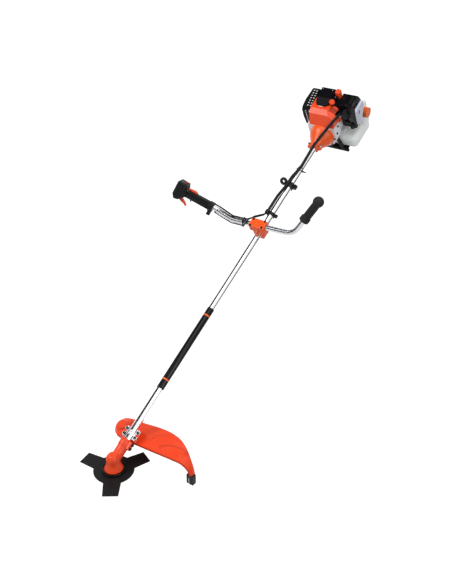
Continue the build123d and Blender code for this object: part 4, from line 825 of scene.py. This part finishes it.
def makeTies(values):
    tube, bar, wall = values["tube"], values["bar"], values["wall"] + values["room"]
    turn = math.radians(tube["turn"])
    upright = Matrix.Rotation(math.radians(90), 4, "X") @ Matrix.Scale(-1, 4, (0, 0, 1))
    place = tubeFrame @ Matrix.Translation((0, tube["y"], 0)) @ upright
    spot = (tube["reach"] * math.cos(turn), tube["reach"] * math.sin(turn))
    held = [(0, 0, tube["tube"] + wall), (*spot, tube["loom"] + wall)]
    makeTie("tubeTie", held, place, values, (15.2, -2.0, -20))
    startX, startY = bar["start"]
    y = startY + (bar["x"] - startX) * bar["rise"] / bar["run"]
    lean = Matrix.Rotation(math.atan2(bar["rise"], bar["run"]), 4, "Z")
    sideways = Matrix((Vector((0, 0, 1)), Vector((1, 0, 0)), Vector((0, 1, 0)))).to_4x4()
    place = tubeFrame @ Matrix.Translation((bar["x"], y, bar["height"])) @ lean @ sideways
    held = [(0, 0, bar["bar"] + wall)]
    for turn, off, radius in ((bar["cableTurn"], 0.6, bar["cable"]), (bar["wireTurn"], 0.5, bar["wire"])):
        reach, turn = bar["bar"] + radius + off, math.radians(turn)
        held.append((reach * math.cos(turn), reach * math.sin(turn), radius + wall))
    makeTie("barTie", held, place, values, (-4.0, 13.2, 100))


makeTies(tieValues)
print("cable ties made")

# slatted shoulder of the cowl beside the air cleaner, with black bars between the slats as painted shade
shoulderValues = {
    "inner": (17.0, 98.6), "outer": (47.0, 81.2), "start": 1588.5, "end": 1628.0, "wall": 2.4,
    "slats": 5, "firstSlat": (4.0, 1604.0, -1.6), "slatStep": (6.2, -3.6), "slatSize": (30, 2.4, 3.6),
    "gapStep": (3.1, -1.8), "gapSize": (27, 2.0, 1.4),
}


def makeShoulder(values):
    (x0, z0), (x1, z1) = values["inner"], values["outer"]
    rows, columns = 6, 8
    points = []
    for row in range(rows):
        for column in range(columns):
            u, v = column / (columns - 1), row / (rows - 1)
            drop = 2.5 * ease((v - 0.7) / 0.3) + 2.0 * ease((u - 0.8) / 0.2)
            y = values["start"] + (values["end"] - values["start"]) * v
            points.append((x0 + (x1 - x0) * u, y, z0 + (z1 - z0) * u - drop))
    mesh = meshOf("cowlShoulder", points, gridFaces(rows, columns), tubeFrame, outward=False)
    panel = addPiece("cowlShoulder", mesh, "cowlOrange")
    thicken(panel, values["wall"])
    looks(panel, 0.6, 2, 50)
    (inX, slatY, inZ), (stepX, stepZ) = values["firstSlat"], values["slatStep"]
    gapX, gapZ = values["gapStep"]
    spots = [((x0 + inX + stepX * k, slatY, z0 + inZ + stepZ * k), (0.5, 0, 0.866), (0.3, 1, -0.17))
             for k in range(values["slats"])]
    grown("shoulderSlats", barSet, spots, tubeFrame, barSize(values["slatSize"]), "cowlOrange")
    # black bars in the gaps between the slats stand in for the dark inside of the vents: painted shade
    gaps = [((p[0] + gapX, p[1], p[2] + gapZ), a, b) for p, a, b in spots[:-1]]
    grown("shoulderGapShade", barSet, gaps, tubeFrame, barSize(values["gapSize"]), "blackPlastic")


makeShoulder(shoulderValues)

# air cleaner in two finishes: black shroud and pale rim plate, whose grey-blue tint is painted shade on a
# pale part
filterValues = {"rim": 116.9, "rounding": 1.0}


def makeFilter(values):
    across = (tubeFrame.to_3x3() @ Vector((1, 0, 0))).normalized()
    plane = (tubeFrame @ Vector((values["rim"], 0, 0)), across)
    for title, beyond, finish, slot in (("filterShroud", False, "glossBlack", "gloss_black"),
                                        ("filterRim", True, "paleCastInShade", "cast_aluminium")):
        part = addPiece(title, copyOf("air_filter_cover", title, plane, beyond), finish)
        looks(part, values["rounding"])
        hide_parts("air_filter_cover")


makeFilter(filterValues)
print("shoulder and air cleaner made")

# corrugated sleeve over the cables, on the route of its solid
loomValues = {
    "onTube": [(1104, 130, 1.2), (1190, 130, 1.2), (1240, 88, 6.5), (1290, 86, 6.5), (1350, 65, 2.5)],
    "over": [(10, 1462, 29), (32, 1530, 49), (54, 1549, 75.5), (66, 1566, 87), (68, 1590, 84),
             (51.5, 1624, 57), (50, 1635.5, 56)],
    "radius": 5.75, "wave": 0.28, "pitch": 3.0, "bend": 22.0, "tube": 13.0, "core": 6.0,
}


def makeLoom(values):
    route = []
    for y, turn, off in values["onTube"]:
        reach = values["tube"] + values["core"] + off
        route.append(((reach * math.cos(math.radians(turn)), y, reach * math.sin(math.radians(turn))),))
    route += [(point,) for point in values["over"]]
    edges = [(k, k + 1) for k in range(len(route) - 1)]
    size = {title: values[title.lower()] * mm for title in ("Radius", "Pitch", "Wave", "Bend")}
    sleeve = grown("cableSleeve", sleevePath, route, tubeFrame, size, "cableSheath",
                   edges=edges)
    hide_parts("cable_loom")


makeLoom(loomValues)
print("cable sleeve made")

# screws, one set for each finish and size
screwValues = {
    "pinchScrews": ("zincSteel", 4.8, 5.0, 0.5,
                    [((x, 1479, 7 * up), (0, 0, up)) for up in (1, -1) for x in (25.5, -25.5)]),
    "fanCaseScrews": ("blackScrew", 3.6, 2.6, 0.5,
                      [(ringSpot(56.6, 1546, a), (0, -1, 0)) for a in (100, 140, 220, 262)]),
    "blockScrews": ("blackScrew", 4.0, 4.0, 0.5,
                    [((55, 1590, 8), (0, 1, 0)), ((-55, 1590, 8), (0, 1, 0)),
                     ((61, 1574, 36), (1, 0, 0)), ((61, 1560, 10), (1, 0, 0))]),
    "lugScrews": ("blackScrew", 3.6, 3.0, 0.5,
                  [((x, y, z), (0, 0, 1)) for x, y, z in ((25, 1256, 6), (25, 1266, 6), (21, 1108, 5))]),
    "coverScrews": ("zincSteel", 2.6, 1.6, 0.5,
                    [((-14, 1628, 120.6), (0, -0.77, 0.64)), ((8, 1670, 127.6), (0, -0.12, 1)),
                     ((-34, 1670, 127.6), (0, -0.12, 1)), ((28, 1650, 113.2), (0, 0, 1))]),
    "starterScrews": ("zincSteel", 4.0, 3.0, 0.5,
                      [(ringSpot(50, 1722.4, a), (0, 1, 0)) for a in (45, 135, 225, 315)]),
}


def makeScrews(sets):
    for title, (finish, radius, height, socket, spots) in sets.items():
        values = {"Head Radius": radius * mm, "Head Height": height * mm, "Socket Share": socket, "Sides": 20}
        grown(title, screwSet, spots, tubeFrame, values, finish)


makeScrews(screwValues)
print("screws made")

# ribs, pads that read as slots and a pale strip of painted highlight, set out in rows
barValues = {
    "clampRibs": ("clampOrange", "clamp_orange", (24, 3.2, 2.6),
                  [((x, 1026 + 0.056 * x, 50), (0, 0, 1), (0, 1, 0)) for x in (-12, 0, 12)]),
    # a pale strip along the cover's front bottom edge where a highlight shows: painted highlight
    "coverHighlightStrip": ("brightSheet", "zinc_steel", (24, 4.0, 1.6), [((-19, 1602, 100), (0, -1, 0), (1, 0, 0))]),
    "guardSlots": ("brightSheet", "muffler_steel", (7.5, 4.0, 1.0),
                   [((-105 + max(0.037 * (z - 40), 0.115 * (40 - z)), y, z),
                     (-1, 0, 0.037 if z > 40 else -0.115), (0, 0.3, 1))
                    for z in range(3, 80, 11) for y in (1602, 1622, 1642, 1662)]),
    "guardFrontSlots": ("brightSheet", "muffler_steel", (7.0, 3.6, 1.0),
                        [((x, 1590, 3 + row * 9.6), (0, -1, 0), (0.3, 0, 1))
                         for row in range(8) for x in (-72, -88)]),
    "guardTopSlots": ("brightSheet", "muffler_steel", (7.0, 3.6, 1.0),
                      [((x, y, 87.6 + 0.2727 * (y - 1606)), (0, -0.26, 0.96), (1, 0.2, 0))
                       for y in range(1607, 1676, 11) for x in (-69, -82)]),
    "rimSlot": ("blackPlastic", "gloss_black", (15, 6.0, 1.0), [((124, 1652, 56), (1, 0, 0), (0, 0.2, 1))]),
    "filterLines": ("glossBlack", "gloss_black", (44, 2.2, 1.6),
                    [((76, 1650 + 9 * k, 98.4 + 1.6 * k), (0, -0.17, 0.98), (1, 0, 0)) for k in range(4)]),
    "caseFlutes": ("caseOrange", "cast_orange", (32, 3.0, 3.4),
                   [(ringSpot(36.3, 1510.2, a), ringSpot(0.83, -0.56, a), ringSpot(0.56, 0.83, a))
                    for a in range(15, 360, 30)]),
    "starterRibs": ("cowlOrange", "cowl_orange", (24, 3.0, 3.0),
                    [(ringSpot(33, 1722.4, a), (0, 1, 0), ringSpot(1, 0, a)) for a in range(15, 360, 30)]),
    "tankRibs": ("tankWhite", "tank_white", (60, 3.0, 2.0),
                 [((x, 1660, -61), (0, 0, 1), (0, 1, 0)) for x in (-60, -40, 20, 42)]),
}


def makeBars(sets):
    for title, (finish, slot, size, spots) in sets.items():
        grown(title, barSet, spots, tubeFrame, barSize(size), finish)


makeBars(barValues)
print("ribs and slots made")

# starter rope, inside the housing and the handle at rest, drawn out between them as the handle is pulled
ropeValues = {
    "inner": 50.0, "outer": 66.0, "along": 1705.4, "turn": -20.0, "radius": 1.8, "rings": 25, "sides": 12,
}


def makeRope(values):
    turn = math.radians(values["turn"])
    out = Vector((math.sin(turn), 0, math.cos(turn)))
    side = Vector((math.cos(turn), 0, -math.sin(turn)))
    along, rings, sides = Vector((0, 1, 0)), values["rings"], values["sides"]
    points = []
    for ring in range(rings):
        reach = values["inner"] + (values["outer"] - values["inner"]) * ring / (rings - 1)
        centre = out * reach + along * values["along"]
        for k in range(sides):
            a = 2 * math.pi * k / sides
            points.append(centre + (side * math.cos(a) + along * math.sin(a)) * values["radius"])
    faces = gridFaces(rings, sides, True)
    faces += [tuple(range(sides)), tuple(range((rings - 1) * sides, rings * sides))]
    mesh = meshOf("starterRope", points, faces, tubeFrame)
    mesh.materials.append(finishes["naturalNylon"])
    rope = bpy.data.objects.new("starterRope", mesh)
    bpy.context.scene.collection.objects.link(rope)
    looks(rope, 0, 0, 60)
    held = (values["inner"] + 2, values["outer"] - 2)
    ends = [tubeFrame @ (out * reach + along * values["along"]) for reach in held]
    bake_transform(rope, "machine", "starter_handle", *ends)


makeRope(ropeValues)
print("starter rope made")

# floor and light
studio = {
    "floorZ": -0.80, "floorSize": 80, "floorColour": (0.30, 0.30, 0.30), "floorGlow": 0.90, "world": 0.42,
    "lamps": [("keyLight", (-1.9, -2.65, 2.63), 1.4, 84.0), ("topLight", (0.6, -0.6, 3.4), 2.6, 42.0),
              ("rearLight", (-0.6, 3.4, 2.2), 2.4, 50.0), ("sideLight", (3.3, -1.6, 1.2), 2.0, 44.0),
              ("sparkLight", (-0.4, -3.3, 2.4), 0.4, 14.0)],
    "flags": [(126.0, 2000.0, 5200.0, 900.0), (-22.0, 2000.0, 2200.0, 1500.0)],
    "flagEnds": (-2500, 3500),
}


def seenDirectly(tree, low, high):
    path = tree.nodes.new("ShaderNodeLightPath")
    seen = addMath(tree, "MAXIMUM", path.outputs["Is Camera Ray"], path.outputs["Is Glossy Ray"])
    seen = addMath(tree, "MAXIMUM", seen, path.outputs["Is Transmission Ray"])
    return addMath(tree, "ADD", addMath(tree, "MULTIPLY", seen, high - low), low)


def makeStage(values):
    scene = bpy.context.scene
    scene.view_settings.view_transform = "Standard"
    world = bpy.data.worlds.new("studio")
    scene.world = world
    world.use_nodes = True
    background = world.node_tree.nodes["Background"]
    background.inputs["Color"].default_value = (1, 1, 1, 1)
    light = seenDirectly(world.node_tree, values["world"], 1.0)
    world.node_tree.links.new(light, background.inputs["Strength"])
    bpy.ops.mesh.primitive_plane_add(size=values["floorSize"], location=(0, 0, values["floorZ"]))
    floor = bpy.context.object
    floor.name = "floor"
    mat = bpy.data.materials.new("floorPale")
    mat.use_nodes = True
    shader = mat.node_tree.nodes["Principled BSDF"]
    shader.inputs["Base Color"].default_value = (*values["floorColour"], 1)
    shader.inputs["Roughness"].default_value = 0.9
    shader.inputs["Specular IOR Level"].default_value = 0.0
    shader.inputs["Emission Color"].default_value = (1, 1, 1, 1)
    glow = seenDirectly(mat.node_tree, 0.0, values["floorGlow"])
    mat.node_tree.links.new(glow, shader.inputs["Emission Strength"])
    floor.data.materials.append(mat)
    low, high = values["flagEnds"]
    # dark cards that only reflections see
    for index, (turn, reach, foot, top) in enumerate(values["flags"]):
        turn = math.radians(turn)
        out = Vector((math.cos(turn), 0, math.sin(turn)))
        side = Vector((-math.sin(turn), 0, math.cos(turn))) / 2
        ends = ((-foot, low), (foot, low), (top, high), (-top, high))
        corners = [out * reach + side * across + Vector((0, level, 0)) for across, level in ends]
        mesh = meshOf("darkCard", corners, [(0, 1, 2, 3)], tubeFrame)
        card = bpy.data.objects.new("darkCard" + str(index + 1), mesh)
        scene.collection.objects.link(card)
        card.data.materials.append(finishes["bladeBlack"])
        for ray in ("camera", "diffuse", "shadow", "transmission", "volume_scatter"):
            setattr(card, "visible_" + ray, False)
    for title, place, size, power in values["lamps"]:
        lamp = bpy.data.lights.new(title, "AREA")
        lamp.energy = power
        lamp.size = size
        obj = bpy.data.objects.new(title, lamp)
        scene.collection.objects.link(obj)
        obj.location = place
        obj.rotation_euler = (-Vector(place)).to_track_quat("-Z", "Y").to_euler()


makeStage(studio)
print("studio set")
